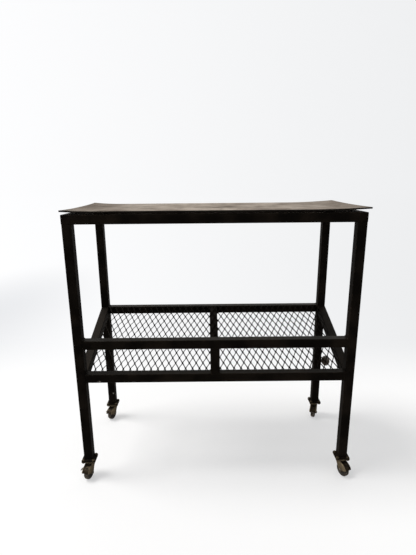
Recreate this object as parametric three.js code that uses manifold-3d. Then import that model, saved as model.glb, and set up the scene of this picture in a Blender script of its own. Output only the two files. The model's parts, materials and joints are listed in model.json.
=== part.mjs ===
// Serving cart: a welded frame of square steel tube on four swivel casters. A thin steel sheet lies on
// low blocks above the top frame, and a shelf of expanded steel slopes from the back rail down to the
// front. All lengths are in millimetres, +Z is up and the front of the cart faces -Y.
import * as THREE from 'three';
import { mergeGeometries, mergeVertices } from 'three/addons/utils/BufferGeometryUtils.js';
import Module from 'manifold-3d';

const wasm = await Module();
wasm.setup();

// Welded frame of square tube.
const frame = {
  width: 980,
  depth: 410,
  topHeight: 984,
  tube: 31.75,
  wall: 1.6,
  cornerRadius: 2.4,
  weldGap: 0.3,
};

// Rails that carry and fence the sloping shelf. Its bars end a little below the tops of the rails.
const shelf = {
  upperRailTop: 552,
  lowerRailTop: 426,
  barBelowUpperRail: 3,
  barBelowLowerRail: 5,
};

// Expanded steel panel, with the long way of its diamonds down the slope.
const panel = {
  shortWay: 38,
  longWay: 80,
  strand: 3.2,
  thickness: 2.5,
  lap: 4,
  edge: 3,
  smallestGap: 9,
};

// Top sheet. Each end rises a little, most at its back corner and least in the middle.
const sheet = {
  thickness: 5,
  clearance: 5,
  leftOverhang: 4,
  rightOverhang: 11,
  backOverhang: 3,
  lengthSteps: 18,
  depthSteps: 4,
};
const leftEnd = { lift: 6, bendLength: 120, frontShare: 0.6, dishShare: 0.6 };
const rightEnd = { lift: 8, bendLength: 190, frontShare: 0.7, dishShare: 0.3 };

// Blocks that hold the sheet clear of the top frame.
const block = { side: 26, fromEnd: 120 };

// Plate caster. Heights are above the floor, and the trail is from its swivel axis to its axle.
const caster = {
  plateUnderside: 70,
  plateWidth: 51,
  plateDepth: 46,
  plateRadius: 4,
  plateThickness: 2.5,
  footThickness: 4,
  boltRadius: 2.5,
  boltEdge: 5.5,
  trail: 14,
  fit: 0.3,
};

// Fork pressed from one sheet: a round crown, a hood around the wheel and two cheeks.
const fork = {
  crownTop: 61,
  crownRadius: 15,
  crownFront: 8,
  crownBack: 11,
  width: 30,
  sheet: 2.5,
  hoodGap: 4,
  hoodEndDegrees: 25,
  bossRadius: 7.5,
};

const wheel = {
  radius: 25,
  tread: 18,
  shoulder: 5,
  hubRadius: 8,
  dish: 2,
  dishRadius: 17,
};

// Swivel and axle.
const race = { radius: 14, waistRadius: 12, flange: 3, topRadius: 13 };
const kingpin = { radius: 4, headRadius: 7, head: 3 };
const axle = { radius: 4, headRadius: 6, head: 2.5 };

// Brake pedal: an eye on the axle, an arm up the cheek and a foot tab that slopes out and down.
const pedal = {
  eyeRadius: 8,
  thickness: 2.2,
  armRise: 16,
  armBack: 5,
  armHalfWidth: 5,
  tipOut: 36,
  tipRise: 0,
  tabWidth: 13,
  tabRadius: 5,
};

// Pull knob on the outer face of the back right leg, with the screw that holds it.
const knob = {
  height: 278,
  radius: 22.5,
  headLength: 36,
  length: 42,
  baseRadius: 11,
  baseThickness: 3,
  neckRadius: 8,
};
const knobScrew = { radius: 2.8, depth: 20, headRadius: 5, head: 3, tipClearance: 2 };

// The four corners: which side of the cart each is on, how many degrees its caster has swung at rest,
// and which side of its fork carries a brake pedal.
const corners = [
  { name: 'front_left', x: -1, y: -1, swing: -12, pedalSide: -1 },
  { name: 'front_right', x: 1, y: -1, swing: 24, pedalSide: 1 },
  { name: 'back_left', x: -1, y: 1, swing: -20, pedalSide: -1 },
  { name: 'back_right', x: 1, y: 1, swing: -22, pedalSide: 0 },
];

const roundSteps = 20;
const cornerSteps = 2;
const shoulderSteps = 3;
const plateSteps = 5;
const cutOverrun = 5;
const mergeDistance = 1e-4;

const finishes = {
  frame: new THREE.MeshStandardMaterial({ color: 0x1b1816, roughness: 0.45, metalness: 0.3 }),
  sheet: new THREE.MeshStandardMaterial({ color: 0x8c8277, roughness: 0.35, metalness: 0.75 }),
  panel: new THREE.MeshStandardMaterial({ color: 0x221f1c, roughness: 0.5, metalness: 0.3 }),
  caster: new THREE.MeshStandardMaterial({ color: 0x2b2621, roughness: 0.5, metalness: 0.7 }),
  wheel: new THREE.MeshStandardMaterial({ color: 0x1d1a17, roughness: 0.7, metalness: 0 }),
  knob: new THREE.MeshStandardMaterial({ color: 0x3a3028, roughness: 0.45, metalness: 0 }),
};

const halfTube = frame.tube / 2;
const legX = frame.width / 2 - halfTube;
const legY = frame.depth / 2 - halfTube;
const plateTop = caster.plateUnderside + caster.plateThickness;
const footTop = plateTop + caster.fit + caster.footThickness;

const axisX = new THREE.Vector3(1, 0, 0);
const axisY = new THREE.Vector3(0, 1, 0);
const axisZ = new THREE.Vector3(0, 0, 1);

const cart = new THREE.Group();

function addPiece(parent, name, geometry, finish) {
  geometry.computeVertexNormals();
  const piece = new THREE.Mesh(geometry, finish);
  piece.name = name;
  parent.add(piece);
  return piece;
}

// Geometry to solid, for cutting and joining, and back.
function toSolid(geometry) {
  const bare = geometry.clone();
  bare.deleteAttribute('normal');
  bare.deleteAttribute('uv');
  const merged = mergeVertices(bare, mergeDistance);
  const mesh = new wasm.Mesh({
    numProp: 3,
    vertProperties: new Float32Array(merged.attributes.position.array),
    triVerts: new Uint32Array(merged.index.array),
  });
  return new wasm.Manifold(mesh);
}

function fromSolid(solid) {
  const { vertProperties, triVerts } = solid.getMesh();
  const geometry = new THREE.BufferGeometry();
  geometry.setAttribute('position', new THREE.BufferAttribute(new Float32Array(vertProperties), 3));
  geometry.setIndex(new THREE.BufferAttribute(new Uint32Array(triVerts), 1));
  return geometry;
}

// Square outline with rounded corners, counterclockwise.
function roundedSquare(side, radius) {
  const reach = side / 2 - radius;
  const points = [];
  for (let quarter = 0; quarter < 4; quarter += 1) {
    const middle = (quarter + 0.5) * Math.PI / 2;
    const centreX = reach * Math.sign(Math.cos(middle));
    const centreY = reach * Math.sign(Math.sin(middle));
    for (let step = 0; step <= cornerSteps; step += 1) {
      const angle = (quarter + step / cornerSteps) * Math.PI / 2;
      points.push(new THREE.Vector2(
        centreX + radius * Math.cos(angle),
        centreY + radius * Math.sin(angle),
      ));
    }
  }
  return points;
}

// Skin through rings of equally many points, closed from the last ring back to the first.
function ringSkin(rings) {
  const count = rings[0].length;
  const positions = rings.flat().flatMap((point) => [point.x, point.y, point.z]);
  const index = [];
  for (let ring = 0; ring < rings.length; ring += 1) {
    const here = ring * count;
    const there = ((ring + 1) % rings.length) * count;
    for (let k = 0; k < count; k += 1) {
      const next = (k + 1) % count;
      index.push(here + k, here + next, there + next);
      index.push(here + k, there + next, there + k);
    }
  }
  const geometry = new THREE.BufferGeometry();
  geometry.setAttribute('position', new THREE.Float32BufferAttribute(positions, 3));
  geometry.setIndex(index);
  return geometry;
}

// Hollow square tube from start to end, cut at each end by a plane with the given normal.
function tubeGeometry(start, end, side, startNormal, endNormal) {
  const along = end.clone().sub(start).normalize();
  const up = along.clone().cross(side);
  const outer = roundedSquare(frame.tube, frame.cornerRadius);
  const inner = roundedSquare(frame.tube - 2 * frame.wall, frame.cornerRadius - frame.wall);
  const ring = (outline, point, normal) => outline.map((corner) => {
    const place = point.clone().addScaledVector(side, corner.x).addScaledVector(up, corner.y);
    const slide = point.clone().sub(place).dot(normal) / along.dot(normal);
    return place.addScaledVector(along, slide);
  });
  return ringSkin([
    ring(outer, start, startNormal),
    ring(outer, end, endNormal),
    ring(inner, end, endNormal),
    ring(inner, start, startNormal),
  ]);
}

// Top frame: four rails with mitred ends, flush with the outside of the legs.
function buildTopFrame() {
  const height = frame.topHeight - halfTube;
  for (const side of [-1, 1]) {
    const rail = tubeGeometry(
      new THREE.Vector3(-legX + frame.weldGap, side * legY, height),
      new THREE.Vector3(legX - frame.weldGap, side * legY, height),
      axisY,
      new THREE.Vector3(1, side, 0).normalize(),
      new THREE.Vector3(1, -side, 0).normalize(),
    );
    addPiece(cart, side < 0 ? 'top_front_rail' : 'top_back_rail', rail, finishes.frame);

    const endRail = tubeGeometry(
      new THREE.Vector3(side * legX, -legY + frame.weldGap, height),
      new THREE.Vector3(side * legX, legY - frame.weldGap, height),
      axisX,
      new THREE.Vector3(side, 1, 0).normalize(),
      new THREE.Vector3(-side, 1, 0).normalize(),
    );
    addPiece(cart, side < 0 ? 'top_left_rail' : 'top_right_rail', endRail, finishes.frame);
  }
}

// Legs stand on the foot plates and end under the top frame.
function buildLegs() {
  const top = frame.topHeight - frame.tube - frame.weldGap;
  for (const corner of corners) {
    const leg = tubeGeometry(
      new THREE.Vector3(corner.x * legX, corner.y * legY, footTop + frame.weldGap),
      new THREE.Vector3(corner.x * legX, corner.y * legY, top),
      axisX, axisZ, axisZ,
    );
    const drilled = corner.name === 'back_right' ? drillForKnob(leg) : leg;
    addPiece(cart, `leg_${corner.name}`, drilled, finishes.frame);
  }
}

// Level rail between the two front legs or the two back legs.
function addLevelRail(name, side, top) {
  const reach = legX - halfTube - frame.weldGap;
  const rail = tubeGeometry(
    new THREE.Vector3(-reach, side * legY, top - halfTube),
    new THREE.Vector3(reach, side * legY, top - halfTube),
    axisY, axisX, axisX,
  );
  addPiece(cart, name, rail, finishes.frame);
}

// The slope of the shelf, along the tops of its bars.
const slopeFront = -legY + halfTube + frame.weldGap;
const slopeBack = legY - halfTube - frame.weldGap;
const slopeLow = shelf.lowerRailTop - shelf.barBelowLowerRail;
const slopeHigh = shelf.upperRailTop - shelf.barBelowUpperRail;
const slopeAngle = Math.atan2(slopeHigh - slopeLow, slopeBack - slopeFront);

function addShelfBar(name, x) {
  const drop = halfTube / Math.cos(slopeAngle);
  const bar = tubeGeometry(
    new THREE.Vector3(x, slopeFront, slopeLow - drop),
    new THREE.Vector3(x, slopeBack, slopeHigh - drop),
    axisX, axisY, axisY,
  );
  addPiece(cart, name, bar, finishes.frame);
}

function buildShelfFrame() {
  addLevelRail('guard_rail', -1, shelf.upperRailTop);
  addLevelRail('lower_front_rail', -1, shelf.lowerRailTop);
  addLevelRail('shelf_back_rail', 1, shelf.upperRailTop);
  addShelfBar('shelf_left_bar', -legX);
  addShelfBar('shelf_centre_bar', 0);
  addShelfBar('shelf_right_bar', legX);
  const post = tubeGeometry(
    new THREE.Vector3(0, -legY, shelf.lowerRailTop + frame.weldGap),
    new THREE.Vector3(0, -legY, shelf.upperRailTop - frame.tube - frame.weldGap),
    axisX, axisZ, axisZ,
  );
  addPiece(cart, 'guard_post', post, finishes.frame);
}

// The panel lies on the bars. Its square-cut front edge leans forward, so it starts that much later.
const panelHalfWidth = legX - halfTube + panel.lap;
const panelStart = panel.thickness * Math.tan(slopeAngle);
const panelLength = Math.hypot(slopeHigh - slopeLow, slopeBack - slopeFront) - panelStart;

// The side of a convex outline on which the distance isn't negative.
function clipOutline(points, distance) {
  const kept = [];
  points.forEach((point, k) => {
    const next = points[(k + 1) % points.length];
    const here = distance(point);
    const there = distance(next);
    if (here >= 0) {
      kept.push(point);
    }
    if (here * there < 0) {
      kept.push(point.clone().lerp(next, here / (here - there)));
    }
  });
  return kept;
}

// Diamond gap around a centre, narrowed by the strands and cut off at the panel's edge strip.
function diamondGap(centreX, centreY) {
  const halfShort = panel.shortWay / 2;
  const halfLong = panel.longWay / 2;
  const centreToStrand = halfShort * halfLong / Math.hypot(halfShort, halfLong);
  const openShare = 1 - panel.strand / 2 / centreToStrand;
  const limitX = panelHalfWidth - panel.edge;
  const diamond = [
    new THREE.Vector2(centreX + halfShort * openShare, centreY),
    new THREE.Vector2(centreX, centreY + halfLong * openShare),
    new THREE.Vector2(centreX - halfShort * openShare, centreY),
    new THREE.Vector2(centreX, centreY - halfLong * openShare),
  ];
  const limits = [
    (point) => limitX + point.x,
    (point) => limitX - point.x,
    (point) => point.y - panel.edge,
    (point) => panelLength - panel.edge - point.y,
  ];
  return limits.reduce(clipOutline, diamond);
}

function panelGaps() {
  const columns = Math.ceil(panelHalfWidth / panel.shortWay) + 1;
  const halfRows = 2 * Math.ceil(panelLength / panel.longWay) + 1;
  const smallestArea = panel.smallestGap ** 2;
  const prisms = [];
  for (let row = 0; row <= halfRows; row += 1) {
    const shift = (row % 2) / 2;
    for (let column = -columns; column <= columns; column += 1) {
      const gap = diamondGap((column + shift) * panel.shortWay, row * panel.longWay / 2);
      if (gap.length > 2 && THREE.ShapeUtils.area(gap) > smallestArea) {
        const prism = new THREE.ExtrudeGeometry(new THREE.Shape(gap), {
          depth: panel.thickness + 2 * cutOverrun,
          bevelEnabled: false,
        });
        prisms.push(prism.translate(0, 0, -cutOverrun));
      }
    }
  }
  return mergeGeometries(prisms);
}

function buildPanel() {
  const plate = new THREE.BoxGeometry(2 * panelHalfWidth, panelLength, panel.thickness);
  plate.translate(0, panelLength / 2, panel.thickness / 2);
  const geometry = fromSolid(toSolid(plate).subtract(toSolid(panelGaps())));
  geometry.translate(0, panelStart, 0);
  const piece = addPiece(cart, 'shelf_mesh', geometry, finishes.panel);
  piece.position.set(0, slopeFront, slopeLow + frame.weldGap / Math.cos(slopeAngle));
  piece.rotation.x = slopeAngle;
}

// Top sheet, bent up a little toward both ends.
function buildSheet() {
  const length = frame.width + sheet.leftOverhang + sheet.rightOverhang;
  const depth = frame.depth + sheet.backOverhang;
  const geometry = new THREE.BoxGeometry(
    length, depth, sheet.thickness, sheet.lengthSteps, sheet.depthSteps,
  );
  const places = geometry.attributes.position;
  for (let k = 0; k < places.count; k += 1) {
    const x = places.getX(k);
    const end = x < 0 ? leftEnd : rightEnd;
    const bentShare = Math.max(0, Math.abs(x) - (length / 2 - end.bendLength)) / end.bendLength;
    const backShare = places.getY(k) / depth + 0.5;
    const cornerShare = THREE.MathUtils.lerp(end.frontShare, 1, backShare);
    const dish = end.dishShare * 4 * backShare * (1 - backShare);
    places.setZ(k, places.getZ(k) + end.lift * bentShare ** 2 * (cornerShare - dish));
  }
  const piece = addPiece(cart, 'top_sheet', geometry, finishes.sheet);
  piece.position.set(
    (sheet.rightOverhang - sheet.leftOverhang) / 2,
    sheet.backOverhang / 2,
    frame.topHeight + sheet.clearance + sheet.thickness / 2,
  );
}

// Blocks between the top frame and the sheet, two on the front rail and two on the back rail.
function buildBlocks() {
  for (const corner of corners) {
    const geometry = new THREE.BoxGeometry(
      block.side, block.side, sheet.clearance - 2 * frame.weldGap,
    );
    const piece = addPiece(cart, `sheet_block_${corner.name}`, geometry, finishes.frame);
    piece.position.set(
      corner.x * (frame.width / 2 - block.fromEnd),
      corner.y * legY,
      frame.topHeight + sheet.clearance / 2,
    );
  }
}

// Round hole in a flat outline.
function holePath(x, y, radius) {
  return new THREE.Path().absarc(x, y, radius, 0, 2 * Math.PI, true);
}

// Rounded plate with four bolt holes, and with a centre hole if that has a radius.
function plateGeometry(thickness, centreRadius) {
  const reachX = caster.plateWidth / 2 - caster.plateRadius;
  const reachY = caster.plateDepth / 2 - caster.plateRadius;
  const outline = new THREE.Shape();
  outline.absarc(reachX, -reachY, caster.plateRadius, -Math.PI / 2, 0, false);
  outline.absarc(reachX, reachY, caster.plateRadius, 0, Math.PI / 2, false);
  outline.absarc(-reachX, reachY, caster.plateRadius, Math.PI / 2, Math.PI, false);
  outline.absarc(-reachX, -reachY, caster.plateRadius, Math.PI, 1.5 * Math.PI, false);
  const boltX = caster.plateWidth / 2 - caster.boltEdge;
  const boltY = caster.plateDepth / 2 - caster.boltEdge;
  const holeRadius = caster.boltRadius + caster.fit;
  outline.holes = corners.map((corner) => holePath(corner.x * boltX, corner.y * boltY, holeRadius));
  if (centreRadius > 0) {
    outline.holes.push(holePath(0, 0, centreRadius));
  }
  return new THREE.ExtrudeGeometry(outline, {
    depth: thickness,
    bevelEnabled: false,
    curveSegments: plateSteps,
  });
}

// Turned solid about Z, from pairs of radius and height that run upward.
function turned(pairs) {
  const points = pairs.map(([radius, height]) => new THREE.Vector2(radius, height));
  return new THREE.LatheGeometry(points, roundSteps).rotateX(Math.PI / 2);
}

// Turned solid laid along X through the wheel's centre.
function onAxle(geometry) {
  return geometry.rotateY(Math.PI / 2).translate(0, -caster.trail, wheel.radius);
}

// Flat outline of pairs of distance out from the swivel axis and height, spread over a width from
// one place along X to another.
function acrossFork(pairs, fromX, toX) {
  const outline = new THREE.Shape(pairs.map(([out, height]) => new THREE.Vector2(-out, height)));
  const geometry = new THREE.ExtrudeGeometry(outline, { depth: toX - fromX, bevelEnabled: false });
  geometry.applyMatrix4(new THREE.Matrix4().makeBasis(axisY, axisZ, axisX));
  return geometry.translate(fromX, 0, 0);
}

// Arc around the axle in such pairs, between two angles in degrees above the direction of trail.
function axleArc(radius, fromDegrees, toDegrees) {
  const steps = roundSteps / 2;
  const pairs = [];
  for (let step = 0; step <= steps; step += 1) {
    const angle = THREE.MathUtils.degToRad(fromDegrees + (toDegrees - fromDegrees) * step / steps);
    pairs.push([
      caster.trail + radius * Math.cos(angle),
      wheel.radius + radius * Math.sin(angle),
    ]);
  }
  return pairs;
}

// Angle at which a line from the end of the flat crown meets the round hood.
function hoodStartDegrees(radius, crownHeight) {
  const back = caster.trail - fork.crownFront;
  const rise = crownHeight - wheel.radius;
  const toCrown = Math.atan2(rise, -back);
  return THREE.MathUtils.radToDeg(toCrown - Math.acos(radius / Math.hypot(back, rise)));
}

function forkGeometry() {
  const crownUnder = fork.crownTop - fork.sheet;
  const innerHood = wheel.radius + fork.hoodGap;
  const outerHood = innerHood + fork.sheet;
  const outside = toSolid(acrossFork([
    [-fork.crownBack, crownUnder],
    [-fork.crownBack, fork.crownTop],
    [fork.crownFront, fork.crownTop],
    ...axleArc(outerHood, hoodStartDegrees(outerHood, fork.crownTop), fork.hoodEndDegrees),
    ...axleArc(fork.bossRadius, 0, -180),
  ].reverse(), -fork.width / 2, fork.width / 2));
  const pastBack = -fork.crownBack - cutOverrun;
  const pastHood = outerHood + cutOverrun;
  const inside = toSolid(acrossFork([
    [pastBack, -cutOverrun],
    [pastBack, crownUnder],
    [fork.crownFront, crownUnder],
    ...axleArc(innerHood, hoodStartDegrees(innerHood, crownUnder), fork.hoodEndDegrees),
    ...axleArc(pastHood, fork.hoodEndDegrees, 0),
    [caster.trail + pastHood, -cutOverrun],
  ].reverse(), -fork.width / 2 + fork.sheet, fork.width / 2 - fork.sheet));
  const crown = turned([
    [0, crownUnder], [fork.crownRadius, crownUnder], [fork.crownRadius, fork.crownTop], [0, fork.crownTop],
  ]);
  const kingHole = turned([
    [0, crownUnder - cutOverrun], [kingpin.radius + caster.fit, crownUnder - cutOverrun],
    [kingpin.radius + caster.fit, fork.crownTop + cutOverrun], [0, fork.crownTop + cutOverrun],
  ]);
  const axleReach = fork.width / 2 + cutOverrun;
  const axleHole = onAxle(turned([
    [0, -axleReach], [axle.radius + caster.fit, -axleReach],
    [axle.radius + caster.fit, axleReach], [0, axleReach],
  ]));
  return fromSolid(outside
    .subtract(inside)
    .add(toSolid(crown))
    .subtract(toSolid(kingHole))
    .subtract(toSolid(axleHole)));
}

// Wheel with a rounded tread, dished faces and a hub that fills the fork.
function wheelGeometry() {
  const bore = axle.radius + caster.fit;
  const halfTread = wheel.tread / 2;
  const halfHub = fork.width / 2 - fork.sheet - caster.fit;
  const rim = wheel.radius - wheel.shoulder;
  const face = [
    [bore, halfHub],
    [wheel.hubRadius, halfHub],
    [wheel.hubRadius, halfTread - wheel.dish],
    [wheel.dishRadius, halfTread - wheel.dish],
    [rim, halfTread],
  ];
  for (let step = 1; step <= shoulderSteps; step += 1) {
    const angle = Math.PI / 2 * step / shoulderSteps;
    face.push([
      rim + wheel.shoulder * Math.sin(angle),
      halfTread - wheel.shoulder * (1 - Math.cos(angle)),
    ]);
  }
  const otherFace = face.map(([radius, height]) => [radius, -height]);
  return onAxle(turned([...otherFace, ...face.reverse(), otherFace[0]]));
}

// Where the pedal's eye lies beside a cheek.
const eyeStart = fork.width / 2 + caster.fit;
const eyeEnd = eyeStart + pedal.thickness;

// Axle with a head outside each cheek, or outside the pedal's eye on the side that has one.
function axleGeometry(pedalSide) {
  const plain = fork.width / 2 + caster.fit;
  const left = pedalSide < 0 ? eyeEnd + caster.fit : plain;
  const right = pedalSide > 0 ? eyeEnd + caster.fit : plain;
  return onAxle(turned([
    [0, -left - axle.head], [axle.headRadius, -left - axle.head], [axle.headRadius, -left],
    [axle.radius, -left], [axle.radius, right],
    [axle.headRadius, right], [axle.headRadius, right + axle.head], [0, right + axle.head],
  ]));
}

// Brake pedal on the fork's +X side.
function pedalGeometry() {
  const armTopOut = caster.trail - pedal.armBack;
  const armTop = wheel.radius + pedal.armRise;
  const tipHeight = wheel.radius + pedal.tipRise;
  const eye = toSolid(acrossFork(axleArc(pedal.eyeRadius, 360, 0).slice(1), eyeStart, eyeEnd));
  const arm = toSolid(acrossFork([
    [caster.trail - pedal.eyeRadius, wheel.radius],
    [caster.trail + pedal.eyeRadius, wheel.radius],
    [armTopOut + pedal.armHalfWidth, armTop],
    [armTopOut - pedal.armHalfWidth, armTop],
  ].reverse(), eyeStart, eyeEnd));
  const slope = new THREE.Shape([
    new THREE.Vector2(eyeStart, armTop),
    new THREE.Vector2(eyeStart, armTop - pedal.thickness),
    new THREE.Vector2(eyeEnd, armTop - 2 * pedal.thickness),
    new THREE.Vector2(pedal.tipOut, tipHeight - pedal.thickness),
    new THREE.Vector2(pedal.tipOut, tipHeight),
    new THREE.Vector2(eyeEnd, armTop),
  ]);
  const slab = new THREE.ExtrudeGeometry(slope, { depth: pedal.tabWidth, bevelEnabled: false });
  slab.applyMatrix4(new THREE.Matrix4().makeBasis(axisX, axisZ, axisY.clone().negate()));
  slab.translate(0, -armTopOut + pedal.tabWidth / 2, 0);
  const halfTab = pedal.tabWidth / 2;
  const roundX = pedal.tipOut - pedal.tabRadius;
  const roundY = halfTab - pedal.tabRadius;
  const plan = new THREE.Shape();
  plan.moveTo(0, -halfTab);
  plan.absarc(roundX, -roundY, pedal.tabRadius, -Math.PI / 2, 0, false);
  plan.absarc(roundX, roundY, pedal.tabRadius, 0, Math.PI / 2, false);
  plan.lineTo(0, halfTab);
  const trim = new THREE.ExtrudeGeometry(plan, {
    depth: 2 * armTop,
    bevelEnabled: false,
    curveSegments: cornerSteps,
  });
  trim.translate(0, -armTopOut, 0);
  const bore = onAxle(turned([
    [0, eyeStart - cutOverrun], [axle.radius + caster.fit, eyeStart - cutOverrun],
    [axle.radius + caster.fit, eyeEnd + cutOverrun], [0, eyeEnd + cutOverrun],
  ]));
  return fromSolid(toSolid(slab).intersect(toSolid(trim)).add(arm).add(eye).subtract(toSolid(bore)));
}

function kingpinGeometry() {
  const headTop = fork.crownTop - fork.sheet - caster.fit;
  const top = plateTop - caster.fit;
  return turned([
    [0, headTop - kingpin.head], [kingpin.headRadius, headTop - kingpin.head],
    [kingpin.headRadius, headTop], [kingpin.radius, headTop], [kingpin.radius, top], [0, top],
  ]);
}

// Ball race between the fork's crown and the caster plate.
function raceGeometry() {
  const low = fork.crownTop + caster.fit;
  const high = caster.plateUnderside - caster.fit;
  const bore = kingpin.radius + caster.fit;
  return turned([
    [bore, low], [race.radius, low], [race.radius, low + race.flange],
    [race.waistRadius, low + race.flange], [race.topRadius, high], [bore, high], [bore, low],
  ]);
}

// One caster under each leg. Its plates stay square to the frame, and the fork swings about the leg.
function buildCasters() {
  for (const corner of corners) {
    const station = new THREE.Group();
    station.position.set(corner.x * legX, corner.y * legY, 0);
    cart.add(station);
    const foot = addPiece(
      station, `foot_plate_${corner.name}`, plateGeometry(caster.footThickness, 0), finishes.frame,
    );
    foot.position.z = footTop - caster.footThickness;
    const plate = addPiece(
      station, `caster_plate_${corner.name}`,
      plateGeometry(caster.plateThickness, kingpin.radius + caster.fit), finishes.caster,
    );
    plate.position.z = caster.plateUnderside;
    addPiece(station, `swivel_race_${corner.name}`, raceGeometry(), finishes.caster);
    addPiece(station, `kingpin_${corner.name}`, kingpinGeometry(), finishes.caster);

    const swivel = new THREE.Group();
    swivel.rotation.z = THREE.MathUtils.degToRad(corner.swing);
    station.add(swivel);
    addPiece(swivel, `fork_${corner.name}`, forkGeometry(), finishes.caster);
    addPiece(swivel, `axle_${corner.name}`, axleGeometry(corner.pedalSide), finishes.caster);
    addPiece(swivel, `wheel_${corner.name}`, wheelGeometry(), finishes.wheel);
    if (corner.pedalSide !== 0) {
      const lever = pedalGeometry();
      if (corner.pedalSide < 0) {
        lever.scale(-1, 1, 1);
        lever.index.array.reverse();
      }
      addPiece(swivel, `brake_pedal_${corner.name}`, lever, finishes.caster);
    }
  }
}

// Round bar along X at the knob's height, between two places along X.
function knobBar(radius, start, end) {
  const geometry = new THREE.CylinderGeometry(radius, radius, end - start, roundSteps);
  return geometry.rotateZ(Math.PI / 2).translate((start + end) / 2, legY, knob.height);
}

function drillForKnob(leg) {
  const inside = frame.width / 2 - frame.wall - cutOverrun;
  const outside = frame.width / 2 + cutOverrun;
  const bore = toSolid(knobBar(knobScrew.radius + caster.fit, inside, outside));
  return fromSolid(toSolid(leg).subtract(bore));
}

function buildKnob() {
  const face = frame.width / 2 + frame.weldGap;
  const halfHead = knob.headLength / 2;
  const neckAngle = Math.asin(knob.neckRadius / knob.radius);
  const headSteps = roundSteps / 2;
  const head = [];
  for (let step = 0; step < headSteps; step += 1) {
    const angle = neckAngle + (Math.PI - neckAngle) * step / headSteps;
    head.push([knob.radius * Math.sin(angle), knob.length - halfHead * (1 + Math.cos(angle))]);
  }
  const body = turned([
    [0, 0], [knob.baseRadius, 0], [knob.baseRadius, knob.baseThickness],
    [knob.neckRadius, knob.baseThickness], ...head, [0, knob.length],
  ]);
  body.rotateY(Math.PI / 2).translate(face, legY, knob.height);
  const boreEnd = face + knobScrew.depth + knobScrew.tipClearance;
  const bore = toSolid(knobBar(knobScrew.radius + caster.fit, face - cutOverrun, boreEnd));
  addPiece(cart, 'pull_knob', fromSolid(toSolid(body).subtract(bore)), finishes.knob);

  const headSeat = frame.width / 2 - frame.wall - frame.weldGap;
  const headEnd = headSeat - knobScrew.head;
  const shank = toSolid(knobBar(knobScrew.radius, headEnd, face + knobScrew.depth));
  const screwHead = toSolid(knobBar(knobScrew.headRadius, headEnd, headSeat));
  addPiece(cart, 'knob_screw', fromSolid(shank.add(screwHead)), finishes.caster);
}

buildTopFrame();
buildLegs();
buildShelfFrame();
buildPanel();
buildSheet();
buildBlocks();
buildCasters();
buildKnob();

// The origin is on the floor, in the middle of the cart's footprint.
cart.updateMatrixWorld(true);
const extent = new THREE.Box3().setFromObject(cart, true);
cart.position.set(-(extent.min.x + extent.max.x) / 2, -(extent.min.y + extent.max.y) / 2, -extent.min.z);

export default cart;
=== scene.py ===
"""Looks of a serving cart: a dark frame of welded square tube, a patinated steel top, a sloping shelf of
expanded steel and four swivel casters. Lengths are in metres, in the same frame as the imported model."""

import json
import logging
import math
import random
from dataclasses import dataclass, field
from enum import Enum
from typing import Callable, Iterable, Sequence

import bpy
from mathutils import Matrix, Vector

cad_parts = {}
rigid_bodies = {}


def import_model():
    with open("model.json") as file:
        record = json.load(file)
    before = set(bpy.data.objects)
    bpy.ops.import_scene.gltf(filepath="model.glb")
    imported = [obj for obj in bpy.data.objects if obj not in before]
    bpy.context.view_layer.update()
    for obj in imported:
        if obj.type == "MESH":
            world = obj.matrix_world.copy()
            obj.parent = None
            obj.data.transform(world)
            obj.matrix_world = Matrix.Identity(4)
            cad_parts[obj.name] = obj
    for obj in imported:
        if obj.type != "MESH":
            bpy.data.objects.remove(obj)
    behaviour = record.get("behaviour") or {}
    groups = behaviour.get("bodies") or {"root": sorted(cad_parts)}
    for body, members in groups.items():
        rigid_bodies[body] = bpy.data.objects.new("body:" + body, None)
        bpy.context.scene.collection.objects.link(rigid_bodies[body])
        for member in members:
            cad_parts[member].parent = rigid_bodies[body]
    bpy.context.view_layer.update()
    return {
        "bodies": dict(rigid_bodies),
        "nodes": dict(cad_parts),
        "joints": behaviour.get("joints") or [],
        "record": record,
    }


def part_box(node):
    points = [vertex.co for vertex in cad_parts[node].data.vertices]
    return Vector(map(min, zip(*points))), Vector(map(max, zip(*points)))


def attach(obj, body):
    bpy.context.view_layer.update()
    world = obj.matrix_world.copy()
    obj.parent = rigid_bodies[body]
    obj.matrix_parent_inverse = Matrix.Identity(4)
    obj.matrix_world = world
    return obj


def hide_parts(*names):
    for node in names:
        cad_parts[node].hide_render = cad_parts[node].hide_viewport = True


LOG = logging.getLogger("serving_cart")

Point = tuple[float, float, float]
Colour = tuple[float, float, float]
Pair = tuple[float, float]
Faces = list[tuple[int, ...]]

WEAR = "wear"
CORNERS = ("front_left", "front_right", "back_left", "back_right")
RIGHT = Vector((1, 0, 0))
BACK = Vector((0, 1, 0))
UP = Vector((0, 0, 1))


class Side(Enum):
    """A side of a rectangular joint, counterclockwise from the bottom."""

    BOTTOM = 0
    RIGHT = 1
    TOP = 2
    LEFT = 3


class Slot(Enum):
    """The record's material slots."""

    FRAME = "frame_steel"
    SHEET = "sheet_steel"
    MESH = "expanded_steel"
    CASTER = "caster_steel"
    PIN = "bright_steel"
    WHEEL = "wheel_plastic"
    KNOB = "knob_plastic"


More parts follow.
